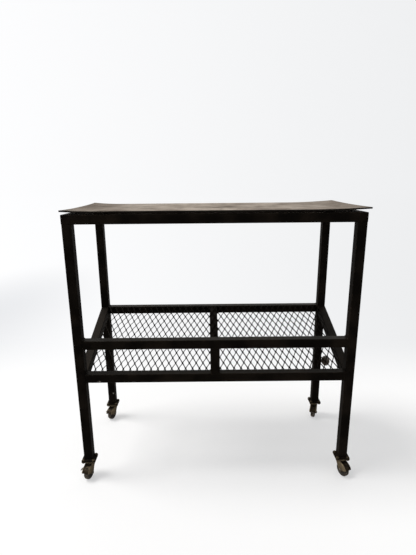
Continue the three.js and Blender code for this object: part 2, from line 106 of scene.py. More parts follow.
class Signal:
    """A shader socket that takes part in sums. Each operation adds its Math node."""

    def __init__(self, shader: "Shader", socket: bpy.types.NodeSocket) -> None:
        """Keeps the shader that the socket belongs to."""
        self.shader = shader
        self.socket = socket

    def _math(self, operation: str, left: "Signal | float", right: "Signal | float") -> "Signal":
        """Adds one Math node.

        Args:
            operation: The Math node's operation.
            left: Its first value.
            right: Its second value.

        Returns:
            The node's result.
        """
        return self.shader.node(
            "ShaderNodeMath", {"operation": operation}, {"Value": left, "Value_001": right}
        )

    def __add__(self, other: "Signal | float") -> "Signal":
        """Sum."""
        return self._math("ADD", self, other)

    def __radd__(self, other: float) -> "Signal":
        """Sum, from the right."""
        return self._math("ADD", other, self)

    def __sub__(self, other: "Signal | float") -> "Signal":
        """Difference."""
        return self._math("SUBTRACT", self, other)

    def __rsub__(self, other: float) -> "Signal":
        """Difference, from the right."""
        return self._math("SUBTRACT", other, self)

    def __mul__(self, other: "Signal | float") -> "Signal":
        """Product."""
        return self._math("MULTIPLY", self, other)

    def __rmul__(self, other: float) -> "Signal":
        """Product, from the right."""
        return self._math("MULTIPLY", other, self)

    def __pow__(self, other: "Signal | float") -> "Signal":
        """Power."""
        return self._math("POWER", self, other)


class Shader:
    """The node tree of a material or world, with one method for every kind of node."""

    def __init__(self, owner: bpy.types.Material | bpy.types.World) -> None:
        """Empties the owner's node tree.

        Args:
            owner: The material or world that the tree belongs to.
        """
        self.owner = owner
        self.owner.use_nodes = True
        self.tree = self.owner.node_tree
        self.tree.nodes.clear()

    def node(
        self,
        kind: str,
        settings: dict[str, object] | None = None,
        sockets: dict[str, object] | None = None,
        output: str | None = None,
    ) -> Signal:
        """Adds a node.

        Args:
            kind: The node's type.
            settings: Its settings, set before its sockets. The setting "stops" fills a colour ramp.
            sockets: Values or signals for its inputs, by identifier or name.
            output: The output to return, by identifier or name, or None for the first one in use.

        Returns:
            The output as a signal.
        """
        node = self.tree.nodes.new(kind)
        for key, setting in (settings or {}).items():
            if key == "stops":
                self._fill_ramp(node.color_ramp, setting)
            else:
                setattr(node, key, setting)
        for key, value in (sockets or {}).items():
            self._feed(self._find(node.inputs, key), value)
        if output is None:
            return Signal(self, next((out for out in node.outputs if out.enabled), node.inputs[0]))
        return Signal(self, self._find(node.outputs, output))

    def _find(self, sockets: Iterable[bpy.types.NodeSocket], key: str) -> bpy.types.NodeSocket:
        """Finds a socket by identifier, or else by name.

        Args:
            sockets: The sockets to look through.
            key: The identifier or name.

        Returns:
            The socket.
        """
        listed = list(sockets)
        for socket in listed:
            if socket.identifier == key:
                return socket
        return next(socket for socket in listed if socket.name == key and socket.enabled)

    def _feed(self, socket: bpy.types.NodeSocket, value: object) -> None:
        """Links a signal to a socket, or sets the socket's own value.

        Args:
            socket: The input.
            value: The signal, or a plain value.
        """
        if isinstance(value, Signal):
            self.tree.links.new(value.socket, socket)
        elif socket.type == "RGBA":
            socket.default_value = (*value, 1.0)
        else:
            socket.default_value = value

    def _fill_ramp(self, ramp: bpy.types.ColorRamp, stops: Sequence[tuple[float, Colour]]) -> None:
        """Gives a colour ramp its stops.

        Args:
            ramp: The ramp.
            stops: The place and colour of each stop.
        """
        while len(ramp.elements) < len(stops):
            ramp.elements.new(1.0)
        for element, (position, colour) in zip(ramp.elements, stops):
            element.position = position
            element.color = (*colour, 1.0)

    def place(self, stretch: Point = (1.0, 1.0, 1.0)) -> Signal:
        """The place on the object, stretched along its axes.

        Args:
            stretch: How much finer the pattern is along X, Y and Z.

        Returns:
            A vector signal.
        """
        spot = self.node("ShaderNodeTexCoord", output="Object")
        return self.node("ShaderNodeMapping", sockets={"Vector": spot, "Scale": stretch})

    def noise(
        self, size: float, detail: float = 3.0, stretch: Point = (1.0, 1.0, 1.0), lift: float = 0.5
    ) -> Signal:
        """Soft noise with features of a given size.

        Args:
            size: The features' size in metres.
            detail: How many finer layers it has.
            stretch: How much finer it is along X, Y and Z.
            lift: The noise's roughness.

        Returns:
            A signal from 0 to 1.
        """
        return self.node(
            "ShaderNodeTexNoise",
            sockets={"Vector": self.place(stretch), "Scale": 1.0 / size, "Detail": detail, "Roughness": lift},
            output="Fac",
        )

    def band(self, signal: Signal, low: float, high: float) -> Signal:
        """Maps a signal smoothly from 0 at low to 1 at high.

        Args:
            signal: The signal.
            low: Where the result is 0.
            high: Where it is 1.

        Returns:
            A signal from 0 to 1.
        """
        return self.node(
            "ShaderNodeMapRange",
            {"interpolation_type": "SMOOTHSTEP"},
            {"Value": signal, "From Min": low, "From Max": high},
        )

    def mix(self, share: Signal | float, first: Signal | Colour, second: Signal | Colour) -> Signal:
        """Mixes two colours.

        Args:
            share: How much of the second there is.
            first: The colour at 0.
            second: The colour at 1.

        Returns:
            The mixed colour.
        """
        return self.node(
            "ShaderNodeMix",
            {"data_type": "RGBA"},
            {"Factor_Float": share, "A_Color": first, "B_Color": second},
            "Result_Color",
        )

    def bump(self, height: Signal, depth: float, strength: float = 1.0) -> Signal:
        """A normal from a height signal whose full range is a depth in metres.

        Args:
            height: The height, from 0 to 1.
            depth: The depth.
            strength: How strong it looks.

        Returns:
            The normal.
        """
        return self.node(
            "ShaderNodeBump", sockets={"Height": height, "Distance": depth, "Strength": strength}
        )

    def part(self, vector: Signal, axis: str) -> Signal:
        """One component of a vector."""
        return self.node("ShaderNodeSeparateXYZ", sockets={"Vector": vector}, output=axis)

    def ray(self, kind: str) -> Signal:
        """Whether the ray that meets the surface is of a kind."""
        return self.node("ShaderNodeLightPath", output=kind)

    def blend(self, share: Signal, first: Signal, second: Signal) -> Signal:
        """Mixes two shaders."""
        return self.node("ShaderNodeMixShader", sockets={"Fac": share, "Shader": first, "Shader_001": second})

    def wear(self) -> Signal:
        """How exposed the surface is, from 0 to 1, as its mesh says."""
        return self.node("ShaderNodeAttribute", {"attribute_name": WEAR}, output="Fac")

    def finish(self, sockets: dict[str, object]) -> bpy.types.Material:
        """Ends the tree in a Principled shader.

        Args:
            sockets: Its inputs.

        Returns:
            The finished material.
        """
        surface = self.node("ShaderNodeBsdfPrincipled", sockets=sockets)
        self.node("ShaderNodeOutputMaterial", sockets={"Surface": surface})
        return self.owner


@dataclass(frozen=True)
class DarkCoat:
    """Thin satin near-black coat over steel, rubbed browner where it is touched."""

    name: str
    shade: Colour = (0.0016, 0.0012, 0.001)
    brown: Colour = (0.0075, 0.005, 0.0034)
    rubbed: Colour = (0.05, 0.034, 0.023)
    rubbed_share: float = 0.35
    roughness: float = 0.46
    gloss: float = 0.13
    grain: float = 0.0012
    bare: Colour = (0.2, 0.185, 0.165)
    glint: Colour = (1.0, 0.84, 0.68)
    chips: tuple[Point, ...] = ()
    chip_radius: float = 0.0045
    cloud_size: float = 0.07
    scuff_size: float = 0.009
    uneven_size: float = 0.02
    ragged_size: float = 0.003
    relief: float = 0.00012

    def chipped(self, shader: Shader) -> Signal | float:
        """Where the coat has chipped off: ragged spots round some places.

        Args:
            shader: The shader that it is for.

        Returns:
            A signal from 0 to 1, or 0 where there are no chips.
        """
        ragged = shader.noise(self.ragged_size, 2.0) * self.chip_radius
        total: Signal | float = 0.0
        for chip in self.chips:
            away = shader.node(
                "ShaderNodeVectorMath",
                {"operation": "DISTANCE"},
                {"Vector": shader.place(), "Vector_001": chip},
                "Value",
            )
            total = 1.0 - shader.band(away + ragged, self.chip_radius, self.chip_radius * 1.5) + total
        return total

    def material(self) -> bpy.types.Material:
        """Builds the coat.

        Returns:
            The material.
        """
        shader = Shader(bpy.data.materials.new(self.name))
        cloud = shader.band(shader.noise(self.cloud_size, 4.0), 0.35, 0.7)
        fine = shader.noise(self.grain, 2.0)
        base = shader.mix(cloud, self.shade, self.brown)
        scuffs = shader.band(shader.noise(self.scuff_size, 5.0, lift=0.65), 0.52, 0.7)
        rubbing = shader.band(shader.wear(), 0.2, 1.0) * scuffs * self.rubbed_share
        colour = shader.mix(rubbing, base, self.rubbed)
        if self.chips:
            colour = shader.mix(self.chipped(shader), colour, self.bare)
        uneven = shader.noise(self.uneven_size, 3.0)
        roughness = uneven * 0.22 + fine * 0.1 + (self.roughness - 0.14)
        height = fine * 0.4 + uneven * 0.6
        return shader.finish({
            "Base Color": colour,
            "Roughness": roughness,
            "Metallic": rubbing * 0.6,
            "Specular IOR Level": self.gloss,
            "Specular Tint": self.glint,
            "Normal": shader.bump(height, self.relief, 0.55),
        })


@dataclass(frozen=True)
class PatinaSheet:
    """Waxed hot-rolled sheet: grey-brown clouds, rolling streaks and dark stains, darker towards both ends,
    with painted shade on its edges and front corners.
    """

    name: str
    dark: Colour = (0.075, 0.056, 0.042)
    mid: Colour = (0.34, 0.292, 0.248)
    light: Colour = (0.58, 0.525, 0.465)
    # Painted shade: the near-black tone of the sheet's outline and front corners.
    edge: Colour = (0.006, 0.005, 0.0042)
    sheen: Colour = (0.83, 0.74, 0.65)
    # Where the sheet starts to darken towards its ends, and where it is darkest.
    middle: float = 0.1
    end: float = 0.52
    # Where the painted shade at the front corners starts and ends, and how strong it is.
    tip_start: float = 0.455
    tip_end: float = 0.5
    tip_share: float = 0.85
    front_start: float = 0.1
    front_end: float = 0.18
    cloud_size: float = 0.15
    streak_size: float = 0.05
    grain_size: float = 0.0016
    stain_size: float = 0.045
    scratch_size: float = 0.004
    relief: float = 0.0002

    def off_centre(self, shader: Shader) -> Signal:
        """The distance along X from the cart's middle."""
        across = shader.part(shader.place(), "X")
        return (across * across) ** 0.5

    def tips(self, shader: Shader) -> Signal:
        """The front corners, darkened most by painted shade.

        Args:
            shader: The shader that it is for.

        Returns:
            A signal from 0 to 1.
        """
        ends = shader.band(self.off_centre(shader), self.tip_start, self.tip_end)
        front = shader.band(0.0 - shader.part(shader.place(), "Y"), self.front_start, self.front_end)
        return ends * front

    def material(self) -> bpy.types.Material:
        """Builds the sheet's finish.

        Returns:
            The material.
        """
        shader = Shader(bpy.data.materials.new(self.name))
        clouds = shader.noise(self.cloud_size, 6.0, (1.0, 0.8, 1.0), 0.62)
        streaks = shader.noise(self.streak_size, 4.0, (0.12, 1.0, 1.0), 0.6)
        grain = shader.noise(self.grain_size, 2.0, (0.35, 1.0, 1.0))
        tone = clouds * 0.72 + streaks * 0.2 + grain * 0.08
        base = shader.node(
            "ShaderNodeValToRGB",
            {"stops": [(0.36, self.dark), (0.5, self.mid), (0.64, self.light)]},
            {"Fac": tone},
            "Color",
        )
        stains = shader.band(shader.noise(self.stain_size, 6.0, (0.8, 1.0, 1.0), 0.7), 0.5, 0.64)
        # Darker towards both ends of the sheet, on top of the stains.
        far_out = shader.band(self.off_centre(shader), self.middle, self.end)
        darkening = (stains * 0.6 + far_out * 0.6) * (1.0 - stains * far_out * 0.3)
        stained_darker_ends = shader.mix(darkening, base, self.dark)
        # Painted shade: the front corners go most of the way to the near-black tone.
        shaded_tips = shader.mix(self.tips(shader) * self.tip_share, stained_darker_ends, self.edge)
        # Painted shade: the outline, where the mesh's wear is 1, goes near black.
        cut = shader.band(shader.wear(), 0.5, 1.0)
        colour = shader.mix(cut * 0.97, shaded_tips, self.edge)
        scratches = shader.band(shader.noise(self.scratch_size, 6.0, (0.04, 1.0, 1.0), 0.8), 0.62, 0.7)
        roughness = 0.42 + clouds * 0.22 + stains * 0.14 - scratches * 0.08
        height = streaks * 0.35 + grain * 0.25 + scratches * 0.4
        return shader.finish({
            "Base Color": colour,
            "Roughness": roughness,
            "Metallic": 0.55 - stains * 0.3,
            "Specular IOR Level": 0.3,
            "Specular Tint": self.sheen,
            "Normal": shader.bump(height, self.relief, 0.6),
        })


@dataclass(frozen=True)
class WornMetal:
    """Bare or thinly coated metal, with dirt in the clouds and lighter worn edges."""

    name: str
    shade: Colour
    dirt: Colour
    bright: Colour
    metallic: float = 0.8
    roughness: float = 0.4
    gloss: float = 0.5
    glint: Colour = (1.0, 0.94, 0.86)
    cloud_size: float = 0.01
    speck_size: float = 0.0022
    relief: float = 0.0001

    def material(self) -> bpy.types.Material:
        """Builds the metal.

        Returns:
            The material.
        """
        shader = Shader(bpy.data.materials.new(self.name))
        cloud = shader.band(shader.noise(self.cloud_size, 4.0), 0.4, 0.58)
        specks = shader.band(shader.noise(self.speck_size, 4.0, lift=0.7), 0.5, 0.68)
        base = shader.mix(cloud, self.shade, self.dirt)
        worn = shader.band(shader.wear(), 0.2, 1.0) * (1.0 - specks * 0.6)
        colour = shader.mix(worn * 0.6, base, self.bright)
        roughness = self.roughness - 0.08 + cloud * 0.2 + specks * 0.1
        return shader.finish({
            "Base Color": colour,
            "Roughness": roughness,
            "Metallic": self.metallic - cloud * 0.3,
            "Specular IOR Level": self.gloss,
            "Specular Tint": self.glint,
            "Normal": shader.bump(specks * 0.5 + cloud * 0.5, self.relief, 0.5),
        })


@dataclass(frozen=True)
class Moulded:
    """Moulded plastic or hard rubber, dusty where it is worn."""

    name: str
    shade: Colour
    variation: Colour
    dust: Colour
    roughness: float
    coat: float = 0.0
    coat_roughness: float = 0.25
    cloud_size: float = 0.014
    grit_size: float = 0.0012
    dust_size: float = 0.006
    relief: float = 0.00008

    def material(self) -> bpy.types.Material:
        """Builds the plastic.

        Returns:
            The material.
        """
        shader = Shader(bpy.data.materials.new(self.name))
        cloud = shader.band(shader.noise(self.cloud_size, 4.0), 0.35, 0.68)
        grit = shader.noise(self.grit_size, 3.0)
        base = shader.mix(cloud, self.shade, self.variation)
        patches = shader.band(shader.noise(self.dust_size, 5.0), 0.35, 0.65)
        dusty = shader.band(shader.wear(), 0.3, 1.0) * patches
        colour = shader.mix(dusty * 0.7, base, self.dust)
        return shader.finish({
            "Base Color": colour,
            "Roughness": self.roughness + grit * 0.12 + dusty * 0.1,
            "Coat Weight": self.coat,
            "Coat Roughness": self.coat_roughness,
            "Normal": shader.bump(grit, self.relief, 0.4),
        })


FINISHES: dict[Slot, DarkCoat | PatinaSheet | WornMetal | Moulded] = {
    Slot.FRAME: DarkCoat("coated_tube", chips=((-0.4183, -0.194, 0.3985), (-0.4754, 0.1842, 0.1315))),
    Slot.SHEET: PatinaSheet("patina_sheet"),
    Slot.MESH: DarkCoat(
        "coated_mesh",
        (0.001, 0.0008, 0.0007),
        (0.003, 0.002, 0.0014),
        rubbed_share=0.08,
        roughness=0.6,
        gloss=0.06,
    ),
    Slot.CASTER: WornMetal(
        "caster_bronze",
        (0.03, 0.022, 0.0132),
        (0.0015, 0.0011, 0.0008),
        (0.26, 0.205, 0.13),
        metallic=0.5,
        roughness=0.46,
        gloss=0.22,
        glint=(1.0, 0.82, 0.6),
    ),
    Slot.PIN: WornMetal(
        "dull_pins", (0.2, 0.18, 0.155), (0.07, 0.058, 0.045), (0.42, 0.39, 0.35), 0.95, 0.34
    ),
    Slot.WHEEL: Moulded(
        "wheel_tread", (0.009, 0.007, 0.005), (0.044, 0.034, 0.023), (0.15, 0.12, 0.08), 0.5
    ),
    Slot.KNOB: Moulded(
        "knob_brown", (0.036, 0.026, 0.018), (0.075, 0.055, 0.04), (0.13, 0.1, 0.075), 0.34, 0.4
    ),
}


@dataclass
class Shape:
    """Points, faces and wear of a mesh in the making."""

    points: list[Vector] = field(default_factory=list)
    faces: Faces = field(default_factory=list)
    wear: list[float] = field(default_factory=list)

    def add_ring(self, ring: Iterable[Vector], wear: Iterable[float]) -> range:
        """Adds points.

        Args:
            ring: The points.
            wear: How exposed each one is, from 0 to 1.

        Returns:
            Their numbers.
        """
        start = len(self.points)
        self.points.extend(Vector(point) for point in ring)
        self.wear.extend(wear)
        return range(start, len(self.points))

    def bridge(self, first: Sequence[int], second: Sequence[int], closed: bool = True) -> None:
        """Adds the faces between two rings of equally many points.

        Args:
            first: The first ring's numbers.
            second: The second ring's numbers.
            closed: Whether the rings close on themselves.
        """
        count = len(first)
        for k in range(count if closed else count - 1):
            after = (k + 1) % count
            self.faces.append((first[k], first[after], second[after], second[k]))

    def cap(self, ring: Sequence[int], flip: bool = False) -> None:
        """Closes a ring with one face."""
        self.faces.append(tuple(reversed(ring)) if flip else tuple(ring))

    def join(self, other: "Shape", matrix: Matrix | None = None) -> None:
        """Adds another shape, moved by a matrix.

        Args:
            other: The other shape.
            matrix: How it is moved, or None.
        """
        start = len(self.points)
        move = matrix or Matrix.Identity(4)
        self.points.extend(move @ point for point in other.points)
        self.wear.extend(other.wear)
        self.faces.extend(tuple(start + k for k in face) for face in other.faces)


@dataclass(frozen=True)
class Edges:
    """How a piece's edges are rounded and shaded."""

    bevel: float = 0.0
    segments: int = 2
    angle: float = math.radians(40)
    thicken: float = 0.0


class Workshop:
    """Turns shapes into dressed pieces that ride on the model."""

    def __init__(self, model: dict[str, object]) -> None:
        """Builds every finish once.

        Args:
            model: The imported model, as it was loaded.
        """
        self.nodes: dict[str, bpy.types.Object] = model["nodes"]
        self.joints = {joint["name"]: joint for joint in model["joints"]}
        self.materials = {slot: finish.material() for slot, finish in FINISHES.items()}

    def make(
        self,
        name: str,
        shape: Shape,
        slot: Slot,
        body: str,
        replaced: Sequence[str] = (),
        edges: Edges = Edges(),
    ) -> bpy.types.Object:
        """Makes a piece.

        Args:
            name: The piece's name.
            shape: Its mesh, in the row's frame.
            slot: The material slot that it takes its finish from.
            body: The body that it rides on.
            replaced: The nodes that it stands for.
            edges: How its edges are rounded.

        Returns:
            The new object.
        """
        mesh = bpy.data.meshes.new(name)
        mesh.from_pydata([tuple(point) for point in shape.points], [], shape.faces)
        layer = mesh.attributes.new(WEAR, "FLOAT", "POINT")
        layer.data.foreach_set("value", shape.wear)
        mesh.validate()
        mesh.shade_smooth()
        mesh.set_sharp_from_angle(angle=edges.angle)
        mesh.materials.append(self.materials[slot])
        piece = bpy.data.objects.new(name, mesh)
        bpy.context.scene.collection.objects.link(piece)
        if edges.thicken:
            solid = piece.modifiers.new("sheet", "SOLIDIFY")
            solid.thickness = edges.thicken
            solid.offset = -1.0
            solid.use_even_offset = True
        if edges.bevel:
            bevel = piece.modifiers.new("bevel", "BEVEL")
            bevel.width = edges.bevel
            bevel.segments = edges.segments
            bevel.limit_method = "ANGLE"
            bevel.angle_limit = edges.angle
        normals = piece.modifiers.new("normals", "WEIGHTED_NORMAL")
        normals.keep_sharp = True
        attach(piece, body)
        if replaced:
            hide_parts(*replaced)
        LOG.info("%s on %s", name, body)
        return piece


def turned(pairs: Sequence[Pair], steps: int, wear: Callable[[float, float], float]) -> Shape:
    """Turns an outline about Z.

    Args:
        pairs: Radius and height of each point, from the bottom of the axis to its top, or closed.
        steps: How many steps go round.
        wear: Gives the wear at a radius and height.

    Returns:
        The turned shape.
    """
    shape = Shape()
    rings: list[range] = []
    for radius, height in pairs:
        count = 1 if radius == 0 else steps
        turns = [2 * math.pi * k / steps for k in range(count)]
        ring = [Vector((radius * math.cos(turn), radius * math.sin(turn), height)) for turn in turns]
        rings.append(shape.add_ring(ring, [wear(radius, height)] * count))
    for lower, upper in zip(rings, rings[1:]):
        if len(lower) == 1 and len(upper) > 1:
            shape.faces.extend((lower[0], upper[(k + 1) % steps], upper[k]) for k in range(steps))
        elif len(upper) == 1 and len(lower) > 1:
            shape.faces.extend((lower[k], lower[(k + 1) % steps], upper[0]) for k in range(steps))
        elif len(upper) > 1:
            shape.bridge(lower, upper)
    if pairs[0][0] > 0:
        shape.bridge(rings[-1], rings[0])
    return shape


def even_wear(amount: float) -> Callable[[float, float], float]:
    """The same wear all over a turned shape."""
    return lambda radius, height: amount


def outer_wear(start: float, outside: float, inside: float) -> Callable[[float, float], float]:
    """Wear of a turned shape that changes at a radius.

    Args:
        start: The radius.
        outside: The wear past it.
        inside: The wear within it.

    Returns:
        The wear at a radius and height.
    """
    return lambda radius, height: outside if radius > start else inside


def slope_rise(low: Vector, high: Vector, side: float, tries: int = 20) -> float:
    """How far the axis of a sloping square tube with upright ends rises within its box.

    Args:
        low: The lowest corner of the tube's box.
        high: The highest corner.
        side: The tube's side.
        tries: How often the rise is worked out again from itself.

    Returns:
        The rise.
    """
    run = high.y - low.y
    total = high.z - low.z
    rise = total - side
    for _ in range(tries):
        rise = total - side * math.hypot(run, rise) / run
    return rise


def arc(centre: Pair, radius: float, start: float, end: float, steps: int) -> list[Pair]:
    """Points on an arc.

    Args:
        centre: The arc's centre.
        radius: Its radius.
        start: Its first angle in degrees.
        end: Its last angle in degrees.
        steps: How many steps it has.

    Returns:
        The points, both ends included.
    """
    angles = [math.radians(start + (end - start) * k / steps) for k in range(steps + 1)]
    return [(centre[0] + radius * math.cos(a), centre[1] + radius * math.sin(a)) for a in angles]


@dataclass
class Tubes:
    """The welded frame of square tube, with its weld beads."""

    shop: Workshop
    side: float = 0.03175
    corner: float = 0.0024
    corner_steps: int = 6
    shoulder: float = 0.001
    weld_gap: float = 0.0003
    bead: float = 0.0021
    bead_pitch: float = 0.0026
    bead_sides: int = 7
    bead_out_share: float = 0.25
    bead_inset_share: float = 0.72
    bead_dip_share: float = 0.86
    bead_end_share: float = 0.55
    bead_wear: float = 0.3

    def section(self) -> list[Point]:
        """The tube's outline, counterclockwise: two offsets and the wear of each point.

        Returns:
            The outline.
        """
        half = self.side / 2
        reach = half - self.corner
        flat = reach - self.shoulder
        points: list[Point] = []
        for quarter in range(4):
            turn = Matrix.Rotation(quarter * math.pi / 2, 2)
            before = turn @ Vector((half, flat))
            after = turn @ Vector((flat, half))
            centre = turn @ Vector((reach, reach))
            points.append((before.x, before.y, 0.0))
            for x, y in arc(tuple(centre), self.corner, quarter * 90, quarter * 90 + 90, self.corner_steps):
                points.append((x, y, 1.0))
            points.append((after.x, after.y, 0.0))
        return points

    def tube(self, start: Vector, end: Vector, side: Vector, start_cut: Vector, end_cut: Vector) -> Shape:
        """A closed tube between two cuts.

        Args:
            start: Where its axis starts.
            end: Where its axis ends.
            side: The direction of its section's first offset.
            start_cut: The normal of the plane that cuts its start.
            end_cut: The normal of the plane that cuts its end.

        Returns:
            The tube's skin with both ends closed.
        """
        along = (end - start).normalized()
        up = along.cross(side)
        shape = Shape()
        rings = []
        for place, cut in ((start, start_cut), (end, end_cut)):
            ring = []
            for x, y, _ in self.section():
                point = place + side * x + up * y
                ring.append(point + along * ((place - point).dot(cut) / along.dot(cut)))
            rings.append(shape.add_ring(ring, [wear for _, _, wear in self.section()]))
        shape.bridge(rings[0], rings[1])
        shape.cap(rings[0], flip=True)
        shape.cap(rings[1])
        return shape

    def straight(self, node: str, axis: int) -> Shape:
        """A tube with square ends that fills a node's box, stretched over the weld gaps at its ends.

        Args:
            node: The node.
            axis: The axis that it runs along.

        Returns:
            The tube's shape.
        """
        low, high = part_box(node)
        middle = (low + high) / 2
        start = middle.copy()
        end = middle.copy()
        start[axis] = low[axis] - self.weld_gap
        end[axis] = high[axis] + self.weld_gap
        along = Vector([float(k == axis) for k in range(3)])
        side = BACK if axis == 0 else RIGHT
        return self.tube(start, end, side, along, along)

    def mitred(self, node: str, axis: int) -> Shape:
        """A rail of the top frame, mitred towards the inside of the frame.

        Args:
            node: The node.
            axis: The axis that it runs along.

        Returns:
            The rail's shape.
        """
        low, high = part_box(node)
        middle = (low + high) / 2
        half = self.side / 2
        start = middle.copy()
        end = middle.copy()
        start[axis] = low[axis] + half - self.weld_gap
        end[axis] = high[axis] - half + self.weld_gap
        inward = 1.0 if self.centre()[1 - axis] > middle[1 - axis] else -1.0
        along = Vector([float(k == axis) for k in range(3)])
        across = Vector([inward * float(k == 1 - axis) for k in range(3)])
        side = BACK if axis == 0 else RIGHT
        return self.tube(start, end, side, (along - across).normalized(), (along + across).normalized())

    def sloped(self, node: str) -> Shape:
        """A shelf bar, with upright ends.

        Args:
            node: The bar.

        Returns:
            The bar's shape.
        """
        low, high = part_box(node)
        rise = slope_rise(low, high, self.side)
        drop = (high.z - low.z - rise) / 2
        x = (low.x + high.x) / 2
        steep = rise / (high.y - low.y)
        start = Vector((x, low.y - self.weld_gap, low.z + drop - steep * self.weld_gap))
        end = Vector((x, high.y + self.weld_gap, high.z - drop + steep * self.weld_gap))
        return self.tube(start, end, RIGHT, BACK, BACK)

    def centre(self) -> Vector:
        """The middle of the frame, from its corner legs."""
        return (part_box("leg_front_left")[0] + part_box("leg_back_right")[1]) / 2

    def bead_along(self, path: Sequence[Vector]) -> Shape:
        """A rippled weld bead along a path.

        Args:
            path: The corners of the path.

        Returns:
            The bead's shape.
        """
        spots: list[Vector] = []
        for start, end in zip(path, path[1:]):
            count = max(1, round((end - start).length / self.bead_pitch * 2))
            spots.extend(start.lerp(end, k / count) for k in range(count))
        spots.append(path[-1])
        shape = Shape()
        rings = []
        for k, spot in enumerate(spots):
            ahead = (spots[min(k + 1, len(spots) - 1)] - spots[max(k - 1, 0)]).normalized()
            other = ahead.orthogonal().normalized()
            third = ahead.cross(other)
            swell = self.bead * (1.0 if k % 2 else self.bead_dip_share)
            swell *= self.bead_end_share if k in (0, len(spots) - 1) else 1.0
            ring = [
                spot + swell * (other * math.cos(turn) + third * math.sin(turn))
                for turn in (2 * math.pi * j / self.bead_sides for j in range(self.bead_sides))
            ]
            rings.append(shape.add_ring(ring, [self.bead_wear] * self.bead_sides))
        for first, second in zip(rings, rings[1:]):
            near = min(
                range(self.bead_sides),
                key=lambda j: (shape.points[second[j]] - shape.points[first[0]]).length,
            )
            turned_ring = [second[(j + near) % self.bead_sides] for j in range(self.bead_sides)]
            shape.bridge(first, turned_ring)
        shape.cap(rings[0], flip=True)
        shape.cap(rings[-1])
        return shape

    def weld(
        self, middle: Vector, right: Vector, up: Vector, sides: Sequence[Side], tall: float = 1.0
    ) -> Shape:
        """A bead round some sides of a tube's end.

        Args:
            middle: The middle of the joint, in its plane.
            right: The direction of its right side.
            up: The direction of its top.
            sides: The sides that are welded, in the order of Side.
            tall: How much taller than wide the tube's cut is.

        Returns:
            The bead's shape.
        """
        half = self.side / 2 + self.bead * self.bead_out_share
        inset = self.corner * self.bead_inset_share
        corners = [(-1, -1), (1, -1), (1, 1), (-1, 1)]
        path: list[Vector] = []
        for side in sides:
            first = corners[side.value]
            last = corners[(side.value + 1) % 4]
            step = [inset * (there - here) / 2 for here, there in zip(first, last)]
            for corner, sign in ((first, 1), (last, -1)):
                x, y = (place * half + sign * part for place, part in zip(corner, step))
                path.append(middle + right * x + up * (y * tall))
        return self.bead_along(path)

    def end_welds(
        self, places: Iterable[Point], right: Vector, up: Vector, sides: Sequence[Side], tall: float = 1.0
    ) -> Shape:
        """The same bead at both ends of a tube.

        Args:
            places: The middles of the joints.
            right: The direction of the tube's right side.
            up: The direction of its top.
            sides: The sides that are welded.
            tall: How much taller than wide the tube's cut is.

        Returns:
            Both beads.
        """
        shape = Shape()
        for place in places:
            shape.join(self.weld(Vector(place), right, up, sides, tall))
        return shape

    def rail_welds(self, node: str, back: float) -> Shape:
        """Beads at both ends of a level rail, on the sides that aren't ground flush.

        Args:
            node: The rail.
            back: 1 if the side towards +Y is welded, or -1 for the side towards -Y.

        Returns:
            Both beads.
        """
        low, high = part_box(node)
        middle = (low + high) / 2
        places = [(x, middle.y, middle.z) for x in (low.x, high.x)]
        return self.end_welds(places, BACK * back, UP, (Side.BOTTOM, Side.RIGHT, Side.TOP))

    def bar_welds(self, node: str, inner: float) -> Shape:
        """Beads at both ends of a shelf bar.

        Args:
            node: The bar.
            inner: The sign of X on which its side is welded.

        Returns:
            Both beads.
        """
        low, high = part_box(node)
        x = (low.x + high.x) / 2
        run = high.y - low.y
        rise = (high.z - low.z) - self.side
        tall = math.hypot(run, rise) / run
        half = self.side * tall / 2
        places = [(x, low.y, low.z + half), (x, high.y, high.z - half)]
        return self.end_welds(places, RIGHT * inner, UP, (Side.BOTTOM, Side.RIGHT, Side.TOP), tall)

    def post_welds(self) -> Shape:
        """Beads at both ends of the guard post, on its back and sides.

        Returns:
            Both beads.
        """
        low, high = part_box("guard_post")
        middle = (low + high) / 2
        places = [(middle.x, middle.y, z) for z in (low.z, high.z)]
        return self.end_welds(places, RIGHT, BACK, (Side.RIGHT, Side.TOP, Side.LEFT))

    def leg_welds(self, corner: str) -> tuple[Shape, Shape]:
        """Beads on the foot plate and under the top frame.

        Args:
            corner: The leg's corner.

        Returns:
            The lower and the upper bead.
        """
        low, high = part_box(f"leg_{corner}")
        middle = (low + high) / 2
        inner_x = Vector((math.copysign(1.0, self.centre().x - middle.x), 0, 0))
        inner_y = Vector((0, math.copysign(1.0, self.centre().y - middle.y), 0))
        around = (Side.BOTTOM, Side.RIGHT, Side.TOP, Side.LEFT)
        foot = self.weld(Vector((middle.x, middle.y, low.z)), inner_x, inner_y, around)
        top = self.weld(Vector((middle.x, middle.y, high.z)), inner_x, inner_y, (Side.RIGHT, Side.TOP))
        return foot, top

